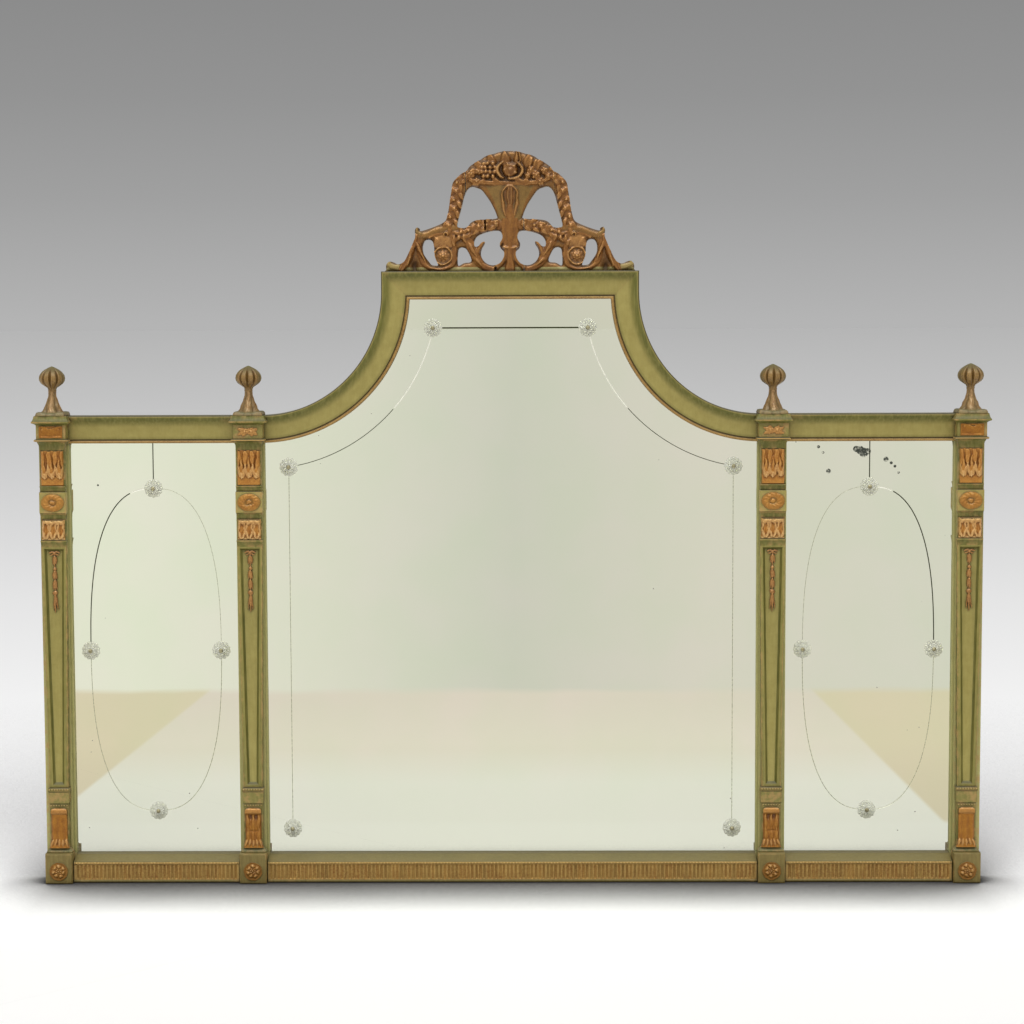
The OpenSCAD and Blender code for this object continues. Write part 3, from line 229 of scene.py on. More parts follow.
green_paint = aged_finish(
    "aged_green_paint", GREEN_PAINT, KHAKI_WASH, ((160, 108, 50), (190, 140, 68), (228, 184, 110)),
    (132, 66, 28), (232, 200, 134))
stile_paint = aged_finish(
    "aged_stile_paint", GREEN_PAINT, ((176, 171, 106), (194, 188, 122)), BRONZE_GOLD,
    (142, 74, 36), (232, 200, 134), tone_all=0.9, seed=1.3, soil_and_shade_colour=(104, 100, 58))
olive_gilt = aged_finish(
    "aged_olive_gilt", ((96, 86, 38), (116, 102, 48)), ((116, 100, 48), (134, 116, 60)),
    ((168, 124, 54), (188, 146, 70), (218, 182, 108)), (134, 72, 30), (226, 188, 120), seed=3.1,
    dust=((96, 88, 46), (112, 100, 56)))
copper_gilt = aged_finish(
    "aged_copper_gilding", GREEN_PAINT, KHAKI_WASH, ((168, 110, 42), (194, 138, 62), (226, 180, 108)),
    (138, 76, 30), (226, 188, 128), seed=5.7, metal=0.5, rough=0.34, soil_and_shade_colour=(84, 46, 16), speckle=0.5)
foot_gilt = aged_finish(
    "aged_foot_gilding", GREEN_PAINT, ((104, 90, 42), (122, 104, 52)),
    ((148, 94, 24), (170, 116, 38), (212, 164, 92)), (116, 62, 20), (206, 160, 100), seed=6.9,
    metal=0.5, rough=0.34, soil_and_shade_colour=(84, 44, 14), speckle=0.4)
carved_gilt = aged_finish(
    "aged_carved_gilding", ((118, 116, 58), (140, 134, 74)), ((158, 150, 92), (172, 162, 106)),
    BRONZE_GOLD, (104, 56, 30), (200, 152, 92), seed=8.3, metal=0.5, rough=0.33,
    dust=((118, 96, 78), (140, 120, 98)), soil_and_shade_colour=(64, 38, 16), speckle=0.55)
bud_gilt = aged_finish(
    "aged_finial_gilding", ((88, 90, 42), (112, 108, 58)), ((112, 108, 78), (128, 122, 92)),
    ((126, 92, 36), (148, 110, 48), (200, 156, 96)), (106, 62, 34), (182, 148, 104), seed=9.9,
    metal=0.25, rough=0.38, dust=((102, 98, 62), (122, 114, 78)), soil_and_shade_colour=(84, 58, 18))


# Where silver is lost: x, height and reach, in metres
LOST_SILVER = (
    (0.597, 0.753, 0.006), (0.604, 0.751, 0.008), (0.610, 0.747, 0.009), (0.617, 0.749, 0.006),
    (0.532, 0.757, 0.003), (0.540, 0.747, 0.0025), (0.5495, 0.715, 0.0045), (0.6487, 0.735, 0.005),
    (0.6578, 0.729, 0.003), (0.6642, 0.723, 0.0028), (0.6705, 0.712, 0.0026), (-0.717, 0.694, 0.0019))


def mirror_material():
    """Old silvered plate: a slight yellow-green cast, faint clouds, a darkening at the foot that is
    painted shade standing for the floor's reflected shadow, and a little silver lost."""
    made, n = material("old_mirror_plate")
    place = n.place()
    cloud = n.noise(7, 3, 0.5, place)
    colour = n.mix(n.span(cloud, 0.35, 0.65), srgb(225, 230, 209), srgb(229, 230, 213))
    # Painted shade: the plate darkens towards its foot as a reflection of the floor's shadow would
    foot_shade = n.span(n.add("SeparateXYZ", {0: place}).outputs[2], 0.24, 0.06)
    colour = n.mix(foot_shade, colour, srgb(211, 212, 200))
    # Silver lost in a ragged patch near the head of the right plate, in specks below it and elsewhere
    patch = 0.0
    for x, z, reach in LOST_SILVER:
        away = n.add("VectorMath", {0: place, 1: (x, (WALL - GLASS_OUT) * MM, z)}, operation="DISTANCE")
        patch = n.most(patch, n.span(away.outputs["Value"], reach, reach * 0.4))
    ragged = n.span(n.noise(300, 4, 0.7, place), 0.36, 0.50)
    lost = n.times(n.span(patch, 0.05, 0.3), ragged, clamp=True)
    specks = n.add("TexVoronoi", {"Vector": place, "Scale": 34.0}, feature="F1").outputs["Distance"]
    small = n.times(n.span(specks, 0.045, 0.03), n.span(n.noise(5, 2, 0.5, place), 0.57, 0.6), clamp=True)
    lost = n.most(lost, n.times(small, 0.6))
    n.surface({"Base Color": n.mix(lost, colour, srgb(52, 58, 50)),
               "Metallic": n.span(lost, 0, 1, 1.0, 0.2), "Roughness": n.span(lost, 0, 1, 0.015, 0.4)})
    return made


def cut_material(name, colour, rough, metallic=0.9):
    """The ground face of a cut line."""
    made, n = material(name)
    place = n.place()
    shaded = tuple(c * 0.8 for c in colour[:3]) + (1,)
    n.surface({"Base Color": n.mix(n.noise(90, 3, 0.5, place), colour, shaded), "Metallic": metallic,
               "Roughness": n.span(n.noise(240, 2, 0.5, place), 0.3, 0.7, rough, rough + 0.15)})
    return made


def glass_material():
    made, n = material("cut_crystal")
    place = n.place()
    n.surface({"Base Color": n.mix(n.noise(60, 2, 0.5, place), srgb(234, 236, 216), srgb(252, 253, 244)),
               "Roughness": n.span(n.noise(300, 3, 0.6, place), 0.3, 0.8, 0.02, 0.12),
               "Transmission Weight": 0.5, "IOR": 1.35})
    return made


def metal_material(name, dark, light, rough, metallic=1.0):
    made, n = material(name)
    place = n.place()
    tarnish = n.noise(160, 5, 0.65, place)
    n.surface({"Base Color": n.mix(n.span(tarnish, 0.38, 0.66), light, dark), "Metallic": metallic,
               "Roughness": n.span(tarnish, 0.3, 0.7, rough, rough + 0.22),
               "Normal": n.bump(0.15, 0.0004, n.noise(500, 3, 0.6, place))})
    return made


def pine_material():
    """Old dry backboards: long grain, knots and brown dust."""
    made, n = material("old_backboard")
    place = n.place()
    grain = n.noise(22, 6, 0.65, place, (7, 1, 0.22))
    drawn_out = n.add("Mapping", {"Vector": place, "Scale": (1, 1, 0.07)}).outputs[0]
    ring = n.add("TexWave", {"Vector": drawn_out, "Scale": 26.0, "Distortion": 7.0, "Detail": 3.0,
                             "Detail Scale": 0.8}, bands_direction="X").outputs["Fac"]
    colour = n.mix(n.span(grain, 0.32, 0.68), srgb(122, 86, 48), srgb(176, 136, 86))
    colour = n.mix(n.times(ring, 0.35), colour, srgb(104, 68, 36))
    colour = n.mix(n.span(n.noise(5, 4, 0.6, place), 0.5, 0.75, 0, 0.5), colour, srgb(92, 76, 56))
    n.surface({"Base Color": colour, "Roughness": n.span(grain, 0.3, 0.7, 0.62, 0.85),
               "Normal": n.bump(0.3, 0.0006, n.plus(grain, ring))})
    return made


mirror_plate = mirror_material()
# Lit and shaded copies of one cut face: the white is painted highlight and the dark is painted shade; the
# light one is for faint lines
cut_white = cut_material("engraved_white", srgb(250, 250, 238), 0.5, 0.2)
cut_light = cut_material("engraved_light", srgb(206, 208, 186), 0.2)
cut_dark = cut_material("engraved_dark", srgb(78, 82, 48), 0.3)
crystal = glass_material()
aged_brass = metal_material("aged_brass", srgb(96, 78, 44), srgb(168, 142, 88), 0.3)
screw_metal = metal_material("dull_screw", srgb(122, 116, 88), srgb(176, 170, 138), 0.36, 0.7)
old_steel = metal_material("old_steel", srgb(70, 62, 54), srgb(140, 138, 132), 0.34)
backboard = pine_material()


# ------------------------------------------------------------ mesh building
class Form:
    """Gathers closed skins: points in x, out and z, faces, and a finish for each point."""

    def __init__(self):
        self.points, self.finish, self.faces, self.count = [], [], [], 0

    def add(self, points, faces, finish):
        points = np.asarray(points, float).reshape(-1, 3)
        finish = np.broadcast_to(np.asarray(finish, float), points.shape)
        self.points.append(points)
        self.finish.append(finish)
        for group in (faces if isinstance(faces, list) else [faces]):
            self.faces += (np.asarray(group) + self.count).tolist()
        self.count += len(points)

    def shifted(self, dx):
        """The same form moved along x."""
        moved = Form()
        moved.add(np.concatenate(self.points) + (dx, 0, 0), [], np.concatenate(self.finish))
        moved.faces = self.faces
        return moved

    def mesh(self, name):
        """A mesh of the form, in metres and in the frame's own axes."""
        points = np.concatenate(self.points)
        placed = np.stack([points[:, 0], WALL - points[:, 1], points[:, 2]], 1) * MM
        mesh = bpy.data.meshes.new(name)
        mesh.from_pydata(placed.tolist(), [], self.faces)
        return mesh


def linked(name, data):
    made = bpy.data.objects.new(name, data)
    bpy.context.scene.collection.objects.link(made)
    return made


def piece(name, form, look, node, angle=38.0):
    """Makes an object of a form that rides on the frame and stands for a CAD node."""
    mesh = form.mesh(name)
    carried = mesh.attributes.new("finish", "FLOAT_VECTOR", "POINT")
    carried.data.foreach_set("vector", np.concatenate(form.finish).astype(np.float32).ravel())
    mesh.validate()
    mesh.shade_smooth()
    mesh.set_sharp_from_angle(angle=math.radians(angle))
    mesh.materials.append(look)
    made = linked(name, mesh)
    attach(made, "frame")
    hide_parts(node)
    return made


def signed_volume(rings):
    """Rough sense of a skin made of rings, so that its faces can be turned outwards."""
    total = 0.0
    centre = rings.reshape(-1, 3).mean(0)
    for a, b in zip(rings[:-1], rings[1:]):
        p, q = a - centre, b - centre
        p1, q1 = np.roll(p, -1, 0), np.roll(q, -1, 0)
        total += np.einsum("ij,ij->", np.cross(p, p1), q) + np.einsum("ij,ij->", np.cross(p1, q1), q)
    return total


def skin(form, rings, finish=GREEN, loop=False):
    """Skins rings of equal length, closed round, with a cap at each end or looped."""
    rings = np.asarray(rings, float)
    count, sides = rings.shape[:2]
    finish = np.broadcast_to(np.asarray(finish, float), rings.shape)
    index = np.arange(count * sides).reshape(count, sides)
    a, b = index[:-1], index[1:]
    if loop:
        a, b = index, np.roll(index, -1, 0)
    quads = np.stack([a, np.roll(a, -1, 1), np.roll(b, -1, 1), b], -1).reshape(-1, 4)
    ends = [] if loop else [index[0][::-1][None], index[-1][None]]
    # The out axis is turned over when placed, so the sense is too
    if signed_volume(rings) >= 0:
        quads, ends = quads[:, ::-1], [e[:, ::-1] for e in ends]
    form.add(rings.reshape(-1, 3), [quads, *ends], finish.reshape(-1, 3))


def rounded(corners, steps=3):
    """Rounds a closed section. A corner is (u, out, radius, finish)."""
    points, finish = [], []
    count = len(corners)
    for i, (u, out, radius, look) in enumerate(corners):
        here = np.array((u, out), float)
        if radius <= 0:
            points.append(here)
            finish.append(look)
            continue
        a = np.array(corners[i - 1][:2]) - here
        b = np.array(corners[(i + 1) % count][:2]) - here
        a, b = a / np.linalg.norm(a), b / np.linalg.norm(b)
        half = math.acos(max(-1, min(1, a @ b))) / 2
        centre = here + (a + b) / np.linalg.norm(a + b) * radius / math.sin(half)
        start, end = (here + d * radius / math.tan(half) - centre for d in (a, b))
        first = math.atan2(start[1], start[0])
        turn = (math.atan2(end[1], end[0]) - first + math.pi) % (2 * math.pi) - math.pi
        for k in range(steps + 1):
            angle = first + turn * k / steps
            points.append(centre + radius * np.array((math.cos(angle), math.sin(angle))))
            finish.append(look)
    return np.array(points), np.array(finish, float)


def arc(u, out, radius, start, end, steps, look):
    """Points of an arc for a section, as corners without rounding."""
    return [(u + radius * math.cos(math.radians(a)), out + radius * math.sin(math.radians(a)), 0, look)
            for a in np.linspace(start, end, steps)]


def sweep(form, section, finish, places):
    """Runs a section along stations. places(u) gives the x and z of each station for a
    distance u from the sight edge."""
    line = np.array([places(u) for u in section[:, 0]])  # point, station, 2
    rings = np.empty((line.shape[1], len(section), 3))
    rings[:, :, 0], rings[:, :, 2] = line[:, :, 0].T, line[:, :, 1].T
    rings[:, :, 1] = section[:, 1]
    skin(form, rings, np.broadcast_to(finish, rings.shape))


def block_form(outline, back, front, edge, finish, face, steps):
    """A flat shape raised off its ground with a rounded front edge. The outline is convex, in x
    and z, and runs counter-clockwise."""
    outline = np.asarray(outline, float)

    def inset(by):
        out = []
        for i, b in enumerate(outline):
            a, c = outline[i - 1], outline[(i + 1) % len(outline)]
            d0, d1 = (b - a) / np.linalg.norm(b - a), (c - b) / np.linalg.norm(c - b)
            n0, n1 = np.array((-d0[1], d0[0])), np.array((-d1[1], d1[0]))
            middle = n0 + n1
            out.append(b + middle * by / max(0.3, middle @ n0))
        return np.array(out)

    levels = [(0, back, finish), (0, front - edge, finish)]
    for a in np.radians(np.linspace(30, 90, steps)):
        levels.append((edge * (1 - math.cos(a)), front - edge * (1 - math.sin(a)), face))
    made = Form()
    skin(made, [[(x, at, z) for x, z in inset(by)] for by, at, _ in levels],
         [[look] * len(outline) for _, _, look in levels])
    return made


def rectangle(half, low, high, x=0.0):
    return [(x - half, low), (x + half, low), (x + half, high), (x - half, high)]


def level_ring(x, z, r, out, angles):
    """A ring about x and z on one level out; r and out are numbers or one for each angle."""
    return np.column_stack([x + r * np.cos(angles), np.broadcast_to(out, angles.shape),
                            z + r * np.sin(angles)])


def stack(form, levels, x=0.0, back=STILE_OUT):
    """A moulding that returns on both sides: levels are (z, half width, out, finish)."""
    rings, looks = [], []
    for z, half, out, look in levels:
        bevel = min(0.6, half / 4)
        rings.append([(x - half, back, z), (x + half, back, z), (x + half, out - bevel, z),
                      (x + half - bevel, out, z), (x - half + bevel, out, z), (x - half, out - bevel, z)])
        looks.append([look] * 6)
    skin(form, rings, looks)


def ball_row(form, xs, z, out, radius, finish):
    """A row of small beads half sunk in a face."""
    sides, rings = 10, 4
    circle = np.linspace(0, 2 * math.pi, sides, endpoint=False)
    for x in xs:
        levels = []
        for k in range(rings):
            tilt = math.radians(-25 + 108 * k / (rings - 1))
            r, rise = radius * math.cos(tilt), radius * math.sin(tilt)
            levels.append(level_ring(x, z, r, out + rise, circle))
        skin(form, levels, finish)


# ------------------------------------------------------------------ carving
def smooth_path(points, steps=6):
    """A soft curve through points, whatever their number of values."""
    p = np.asarray(points, float)
    out = []
    for i in range(len(p) - 1):
        a, b, c, d = p[max(i - 1, 0)], p[i], p[i + 1], p[min(i + 2, len(p) - 1)]
        for t in np.arange(steps) / steps:
            out.append(0.5 * (2 * b + (c - a) * t + (2 * a - 5 * b + 4 * c - d) * t * t
                              + (3 * b - a - 3 * c + d) * t ** 3))
    out.append(p[-1])
    return np.array(out)


def blurred(values, weight, reach):
    """Mean of the values over a square window of grid steps, where the weight is."""
    def summed(a):
        c = np.pad(a, ((reach + 1, reach), (reach + 1, reach))).cumsum(0).cumsum(1)
        s = 2 * reach + 1
        return c[s:, s:] - c[:-s, s:] - c[s:, :-s] + c[:-s, :-s]
    return summed(values * weight) / np.maximum(summed(weight), 1e-6)


def dome(values, middle, reach):
    """1 at the middle, falling to 0 at the reach like a parabola."""
    return np.clip(1 - ((values - middle) / reach) ** 2, 0, 1)


def bell(values, middle, reach):
    """1 at the middle, falling softly to 0 past the reach."""
    return np.exp(-((values - middle) / reach) ** 2)


class Carving:
    """A carved face on a fine grid: how far inside the outline each point lies, and its height.
    Each stroke is cut over the last, and the higher wins. In open work the strokes are the outline."""

    def __init__(self, x0, x1, z0, z1, step, ground=None):
        self.step = step
        self.xs = np.arange(x0, x1 + step / 2, step)
        self.zs = np.arange(z0, z1 + step / 2, step)
        self.x, self.z = np.meshgrid(self.xs, self.zs, indexing="ij")
        self.true_x, self.true_z = self.x, self.z
        self.inside = np.full(self.x.shape, -99.0)
        self.height = np.full(self.x.shape, -99.0)
        self.gilt, self.tone = np.ones(self.x.shape), np.zeros(self.x.shape)
        self.grime_and_shade = np.zeros(self.x.shape)
        self.open_work = False
        if ground is not None:
            self.inside[:] = 99.0
            self.height[:] = ground

    def unsteady(self, seed, amount, wave):
        """Lets the strokes that follow wander a little, as a hand does."""
        a, b, c, d = np.random.default_rng(seed).uniform(0, 6.28, 4)
        k = 2 * math.pi / wave
        x, z = self.true_x, self.true_z
        self.x = x + amount * (np.sin(k * z + a) + 0.6 * np.sin(1.7 * k * (x + z) + b))
        self.z = z + amount * (np.sin(k * x + c) + 0.6 * np.sin(1.9 * k * (x - z) + d))
        return self

    def sink(self, x, z, half_x, half_z, depth):
        """A soft hollow, darkened with dirt and painted shade as it deepens."""
        hollow = np.exp(-((self.x - x) / half_x) ** 2 - ((self.z - z) / half_z) ** 2)
        self.height -= depth * hollow
        self.grime_and_shade = np.clip(self.grime_and_shade + 0.12 * depth * hollow, 0, 1)

    def wear(self, random, reach, relief, dirt_and_shade=0.7, rub_and_highlight=0.6, soften=1, grain=0.05):
        """Softens the carving, lightens its high places as rubbed gilding and painted highlight, darkens
        its hollows with dirt and painted shade, and roughens it.
        """
        solid = (self.inside > 0).astype(float)
        for _ in range(soften):
            self.height = np.where(solid > 0, blurred(self.height, solid, 1), self.height)
        steps = max(1, round(reach / self.step))
        mean = blurred(blurred(self.height, solid, steps), solid, steps)
        proud = np.where(solid > 0, self.height - mean, 0.0) / relief
        gilded = np.clip(self.gilt, 0, 1)
        self.tone = np.clip(self.tone + rub_and_highlight * gilded * np.clip(proud - 0.25, 0, 1), 0, 1)
        self.grime_and_shade = np.clip(self.grime_and_shade + dirt_and_shade * np.clip(-proud - 0.15, 0, 1) ** 0.8, 0, 1)
        self.height += random.normal(0, grain, self.height.shape)
        return self

    def window(self, low, high):
        i0, i1 = np.searchsorted(self.xs, (low[0], high[0]))
        j0, j1 = np.searchsorted(self.zs, (low[1], high[1]))
        return slice(max(i0 - 1, 0), i1 + 1), slice(max(j0 - 1, 0), j1 + 1)

    def around(self, x, z, reach):
        """The window about a point, and how far its grid points lie from it in x and z."""
        where = self.window((x - reach, z - reach), (x + reach, z + reach))
        return where, self.x[where] - x, self.z[where] - z

    def lay(self, where, inside, height, gilt):
        """Lays a stroke; gilt is the share of gilding, or a pair with the share of pale leaf."""
        if self.open_work:
            self.inside[where] = np.maximum(self.inside[where], inside)
        win = (inside > 0) & (height > self.height[where])
        gilt, tone = gilt if isinstance(gilt, tuple) else (gilt, 0.0)
        for layer, value in ((self.height, height), (self.gilt, gilt), (self.tone, tone)):
            layer[where] = np.where(win, value, layer[where])

    def within(self, points):
        """How far each grid point lies inside a soft closed outline, negative outside."""
        steps = 5
        p = smooth_path([points[-1], *points, points[0], points[1]], steps)[steps:-steps]
        best = np.full(self.x.shape, 1e9)
        odd = np.zeros(self.x.shape, bool)
        for (ax, az), (bx, bz) in zip(p[:-1], p[1:]):
            dx, dz = bx - ax, bz - az
            t = np.clip(((self.x - ax) * dx + (self.z - az) * dz) / (dx * dx + dz * dz + 1e-12), 0, 1)
            best = np.minimum(best, (self.x - ax - t * dx) ** 2 + (self.z - az - t * dz) ** 2)
            if az != bz:
                odd ^= ((az > self.z) != (bz > self.z)) & (self.x < ax + (self.z - az) * dx / dz)
        return np.where(odd, 1, -1) * np.sqrt(best)

    def blank(self, outline, holes, base, rise, round_over):
        """The pierced blank of a block, rounded over towards every edge."""
        self.inside = self.within(outline)
        for hole in holes:
            self.inside = np.minimum(self.inside, -self.within(hole))
        v = 1 - np.clip(self.inside / round_over, 0, 1)
        self.height = np.where(self.inside > 0, base + rise * np.sqrt(1 - v ** 2), -99.0)

    def cut(self, points, depth, width):
        """A crack or a crease along a path."""
        path = smooth_path(points)
        away = np.full(self.x.shape, 99.0)
        for (ax, az), (bx, bz) in zip(path[:-1], path[1:]):
            dx, dz = bx - ax, bz - az
            t = np.clip(((self.x - ax) * dx + (self.z - az) * dz) / (dx * dx + dz * dz), 0, 1)
            away = np.minimum(away, np.hypot(self.x - ax - t * dx, self.z - az - t * dz))
        self.height -= depth * bell(away, 0, width)

    def stalk(self, points, base, rise, flutes=(0, 0), gilt=1.0, flat=0.5):
        """A rounded stroke along a path of (x, z, radius), with a number of flutes of a depth."""
        path = smooth_path(points)
        reach = path[:, 2].max() + self.step + 2
        where = self.window(path[:, :2].min(0) - reach, path[:, :2].max(0) + reach)
        x, z = self.x[where], self.z[where]
        best, side, size = np.full(x.shape, -99.0), np.zeros(x.shape), np.ones(x.shape)
        for (ax, az, ar), (bx, bz, br) in zip(path[:-1], path[1:]):
            dx, dz = bx - ax, bz - az
            length = math.hypot(dx, dz) + 1e-9
            t = np.clip(((x - ax) * dx + (z - az) * dz) / length ** 2, 0, 1)
            radius = ar + (br - ar) * t
            px, pz = x - ax - dx * t, z - az - dz * t
            depth = radius - np.hypot(px, pz)
            better = depth > best
            best = np.where(better, depth, best)
            size = np.where(better, radius, size)
            side = np.where(better, (dx * pz - dz * px) / length / radius, side)
        v = np.clip(1 - best / size, 0, 1)
        height = base + rise * (1 - v ** 2) ** flat
        number, deep = flutes
        if number:
            height -= deep * (0.5 + 0.5 * np.cos(2 * math.pi * (number * side / 2))) * (v < 0.95)
        self.lay(where, best, height, gilt)

    def leaf(self, x, z, angle, length, width, base, rise, midrib=0.5, curl=0.0, gilt=1.0, tip=1.0):
        """A pointed leaf growing from its foot, hollowed along the midrib, its tip curling out."""
        where, gx, gz = self.around(x, z, length + 3)
        a = math.radians(angle)
        u = (gx * math.cos(a) + gz * math.sin(a)) / length
        v = -gx * math.sin(a) + gz * math.cos(a)
        t = np.clip(u, 0, 1)
        half = width / 2 * np.sin(math.pi * t ** 0.75) ** 0.7 * (1 - 0.25 * t * tip)
        best = np.where((u >= 0) & (u <= 1), half - np.abs(v), -99.0)
        s = np.clip(np.abs(v) / np.maximum(half, 1e-6), 0, 1)
        height = base + rise * (1 - s ** 2.4) * np.sin(math.pi * np.clip(t * 0.85 + 0.1, 0, 1)) ** 0.6
        height -= midrib * bell(v, 0, 0.09 * width) * (t < 0.92)
        height += curl * np.clip((t - 0.6) / 0.4, 0, 1) ** 2
        self.lay(where, best, height, gilt)

    def ball(self, x, z, radius, base, rise, gilt=1.0):
        where, gx, gz = self.around(x, z, radius + 2)
        d = np.hypot(gx, gz)
        self.lay(where, radius - d, base + rise * np.sqrt(dome(d, 0, radius)), gilt)

    def bloom(self, x, z, radius, petals, base, rise, turn=0.0, rows=1, gilt=1.0, eye=0.22):
        """An open flower: rows of round petals, hollowed, about a round eye."""
        where, gx, gz = self.around(x, z, radius + 2)
        d, a = np.hypot(gx, gz), np.arctan2(gz, gx)
        for row in range(rows):
            r = radius * (1 - 0.34 * row)
            lobe = np.abs(np.cos((a + turn + row * math.pi / petals) * petals / 2))
            edge = r * (0.80 + 0.20 * lobe ** 0.8)
            rho = np.clip(d / edge, 0, 1)
            share = 0.45 + 0.55 * row / max(rows - 1, 1) if rows > 1 else 1.0
            height = base + rise * share * ((1 - rho ** 4) * (0.55 + 0.45 * lobe) * (0.5 + 0.5 * rho))
            self.lay(where, edge - d, height, gilt)
        self.ball(x, z, radius * eye, base + rise * 0.55, rise * 0.55, gilt)

    def rose(self, x, z, radius, base, rise):
        """A full rose: petals wound in a spiral about its heart."""
        where, gx, gz = self.around(x, z, radius + 2)
        d, a = np.hypot(gx, gz), np.arctan2(gz, gx)
        turn = (d / radius * 2.6 + a / (2 * math.pi)) % 1.0
        height = base + rise * np.sqrt(dome(d, 0, radius)) * (0.62 + 0.38 * turn ** 0.7)
        self.lay(where, radius - d, height, 1.0)

    def into(self, form, back, rim, dx=0.0, mirror=False, edge_gilt=0.8):
        """Cuts the outline out of the grid and gives the piece a flat back and upright sides."""
        s = self.inside.copy()
        least = 0.15 * self.step
        s = np.where(np.abs(s) < least, np.where(s < 0, -least, least), s)
        solid = s > 0
        height = np.maximum(self.height, rim)
        first = count = int(solid.sum())
        node = np.full(s.shape, -1)
        node[solid] = np.arange(first)
        points = [np.column_stack([self.true_x[solid], height[solid], self.true_z[solid]])]
        looks = [np.column_stack([self.gilt[solid], self.tone[solid], self.grime_and_shade[solid]])]

        def crossings(a, b, xa, xb, za, zb):
            nonlocal count
            cut = (a > 0) != (b > 0)
            ids = np.full(a.shape, -1)
            t = a[cut] / (a[cut] - b[cut])
            points.append(np.column_stack([xa[cut] + (xb - xa)[cut] * t, np.full(t.shape, rim),
                                           za[cut] + (zb - za)[cut] * t]))
            looks.append(np.tile((edge_gilt, 0.15, 0.2), (int(cut.sum()), 1)))
            ids[cut] = count + np.arange(cut.sum())
            count += int(cut.sum())
            return ids

        gx, gz = self.true_x, self.true_z
        along_x = crossings(s[:-1], s[1:], gx[:-1], gx[1:], gz[:-1], gz[1:])
        along_z = crossings(s[:, :-1], s[:, 1:], gx[:, :-1], gx[:, 1:], gz[:, :-1], gz[:, 1:])
        front = np.concatenate(points)
        corners = [(slice(None, -1), slice(None, -1)), (slice(1, None), slice(None, -1)),
                   (slice(1, None), slice(1, None)), (slice(None, -1), slice(1, None))]
        filled = sum(solid[c].astype(int) for c in corners)
        quads = np.stack([node[c][filled == 4] for c in corners], 1)
        odd, rims = [], []
        for i, j in np.argwhere((filled > 0) & (filled < 4)):
            corners = [(i, j), (i + 1, j), (i + 1, j + 1), (i, j + 1)]
            cuts = [along_x[i, j], along_z[i + 1, j], along_x[i, j + 1], along_z[i, j]]
            shape = []
            for corner, cut in zip(corners, cuts):
                if solid[corner]:
                    shape.append(node[corner])
                if cut >= 0:
                    shape.append(cut)
            odd.append(shape)
            rims += [(a, b) for a, b in zip(shape, shape[1:] + shape[:1]) if a >= first and b >= first]
        # Sides of the blank, where the grid itself ends
        for line, sense in ((node[:, 0], 1), (node[-1], 1), (node[:, -1], -1), (node[0], -1)):
            rims += [(a, b)[::sense] for a, b in zip(line[:-1], line[1:]) if a >= 0 and b >= 0]
        n = len(front)
        behind = front.copy()
        behind[:, 1] = back
        finish = np.concatenate(looks)
        groups = quads.tolist() + [list(map(int, f)) for f in odd]
        faces = groups + [[i + n for i in f[::-1]] for f in groups]
        faces += [list(map(int, (b, a, a + n, b + n))) for a, b in rims]
        # Keep only the points in use
        used = np.zeros(2 * n, bool)
        used[[i for f in faces for i in f]] = True
        renumber = np.cumsum(used) - 1
        points = np.concatenate([front, behind])[used]
        finish = np.concatenate([finish, finish * (edge_gilt, 0.3, 1)])[used]
        if mirror:
            points = points * (-1, 1, 1)
            faces = [f[::-1] for f in faces]
        form.add(points + (dx, 0, 0), [], finish)
        before = form.count - len(points)
        form.faces += [[int(renumber[i]) + before for i in f] for f in faces]
        return form


# -------------------------------------------------------------- frame rails
# The rail darkens towards its outer edge, a paler line inside it is worn paint and painted highlight, and
# the sight edge is darkened with dirt and painted shade
RAIL, RAIL_LOOK = rounded(
    [(6, 14, 0, GREEN), (6, 0, 0, GREEN), (48, 0, 0.6, GREEN), (48, 33, 0, (0, 0, 1)),
     (47.7, 34.9, 0, (0, 0, 0.9)), (46.9, 35.6, 0, (0, 0, 0.8)), (46.3, 35.7, 0, (0, 0.1, 0.6)),
     (45.9, 36, 0, (0.1, 0.5, 0.1)), (45.2, 36, 0, (0.1, 0.5, 0.1)), (44.2, 35.9, 0, GREEN),
     (41.5, 34.9, 0, GREEN), (39, 33.2, 0, (0, 0.1, 0)), (36.5, 31.2, 0, (0, 0.3, 0)),
     (34, 29.6, 0, (0, 0.5, 0)), (31.5, 28.3, 0, (0, 0.75, 0)), (28.5, 27.3, 0, KHAKI),
     (25, 26.5, 0, KHAKI), (12, 24.2, 0, KHAKI), (7.6, 23.4, 0.5, (0, 0.6, 0.1)),
     (6.6, 23.0, 0.3, (0.3, 0.2, 0.8)), (5.9, 21.4, 0.3, GRIME_AND_SHADE)]
    + arc(2.5, 21.5, 2.4, 8, 172, 9, (0.75, 0.25, 0.25)) + [(0, 20.8, 0, GRIME_AND_SHADE), (0, 14, 0, GRIME_AND_SHADE)])


def rail(kind, word, line):
    """A moulded rail; line(u) gives its stations at a distance u from the sight edge."""
    made = Form()
    sweep(made, RAIL, RAIL_LOOK, line)
    piece(kind + "_rail_moulding" + word, made, green_paint, kind + "_rail" + word)


def side_line(side):
    stations = np.linspace(side * SIDE_MID - SIDE_HALF, side * SIDE_MID + SIDE_HALF, 9)
    return lambda u: [(x, SIGHT_SIDE + u) for x in stations]


def crest_line(u):
    half = CREST_HALF - RAIL_W + u
    return [(x, SIGHT_CREST + u) for x in np.linspace(-half, half, 13)]


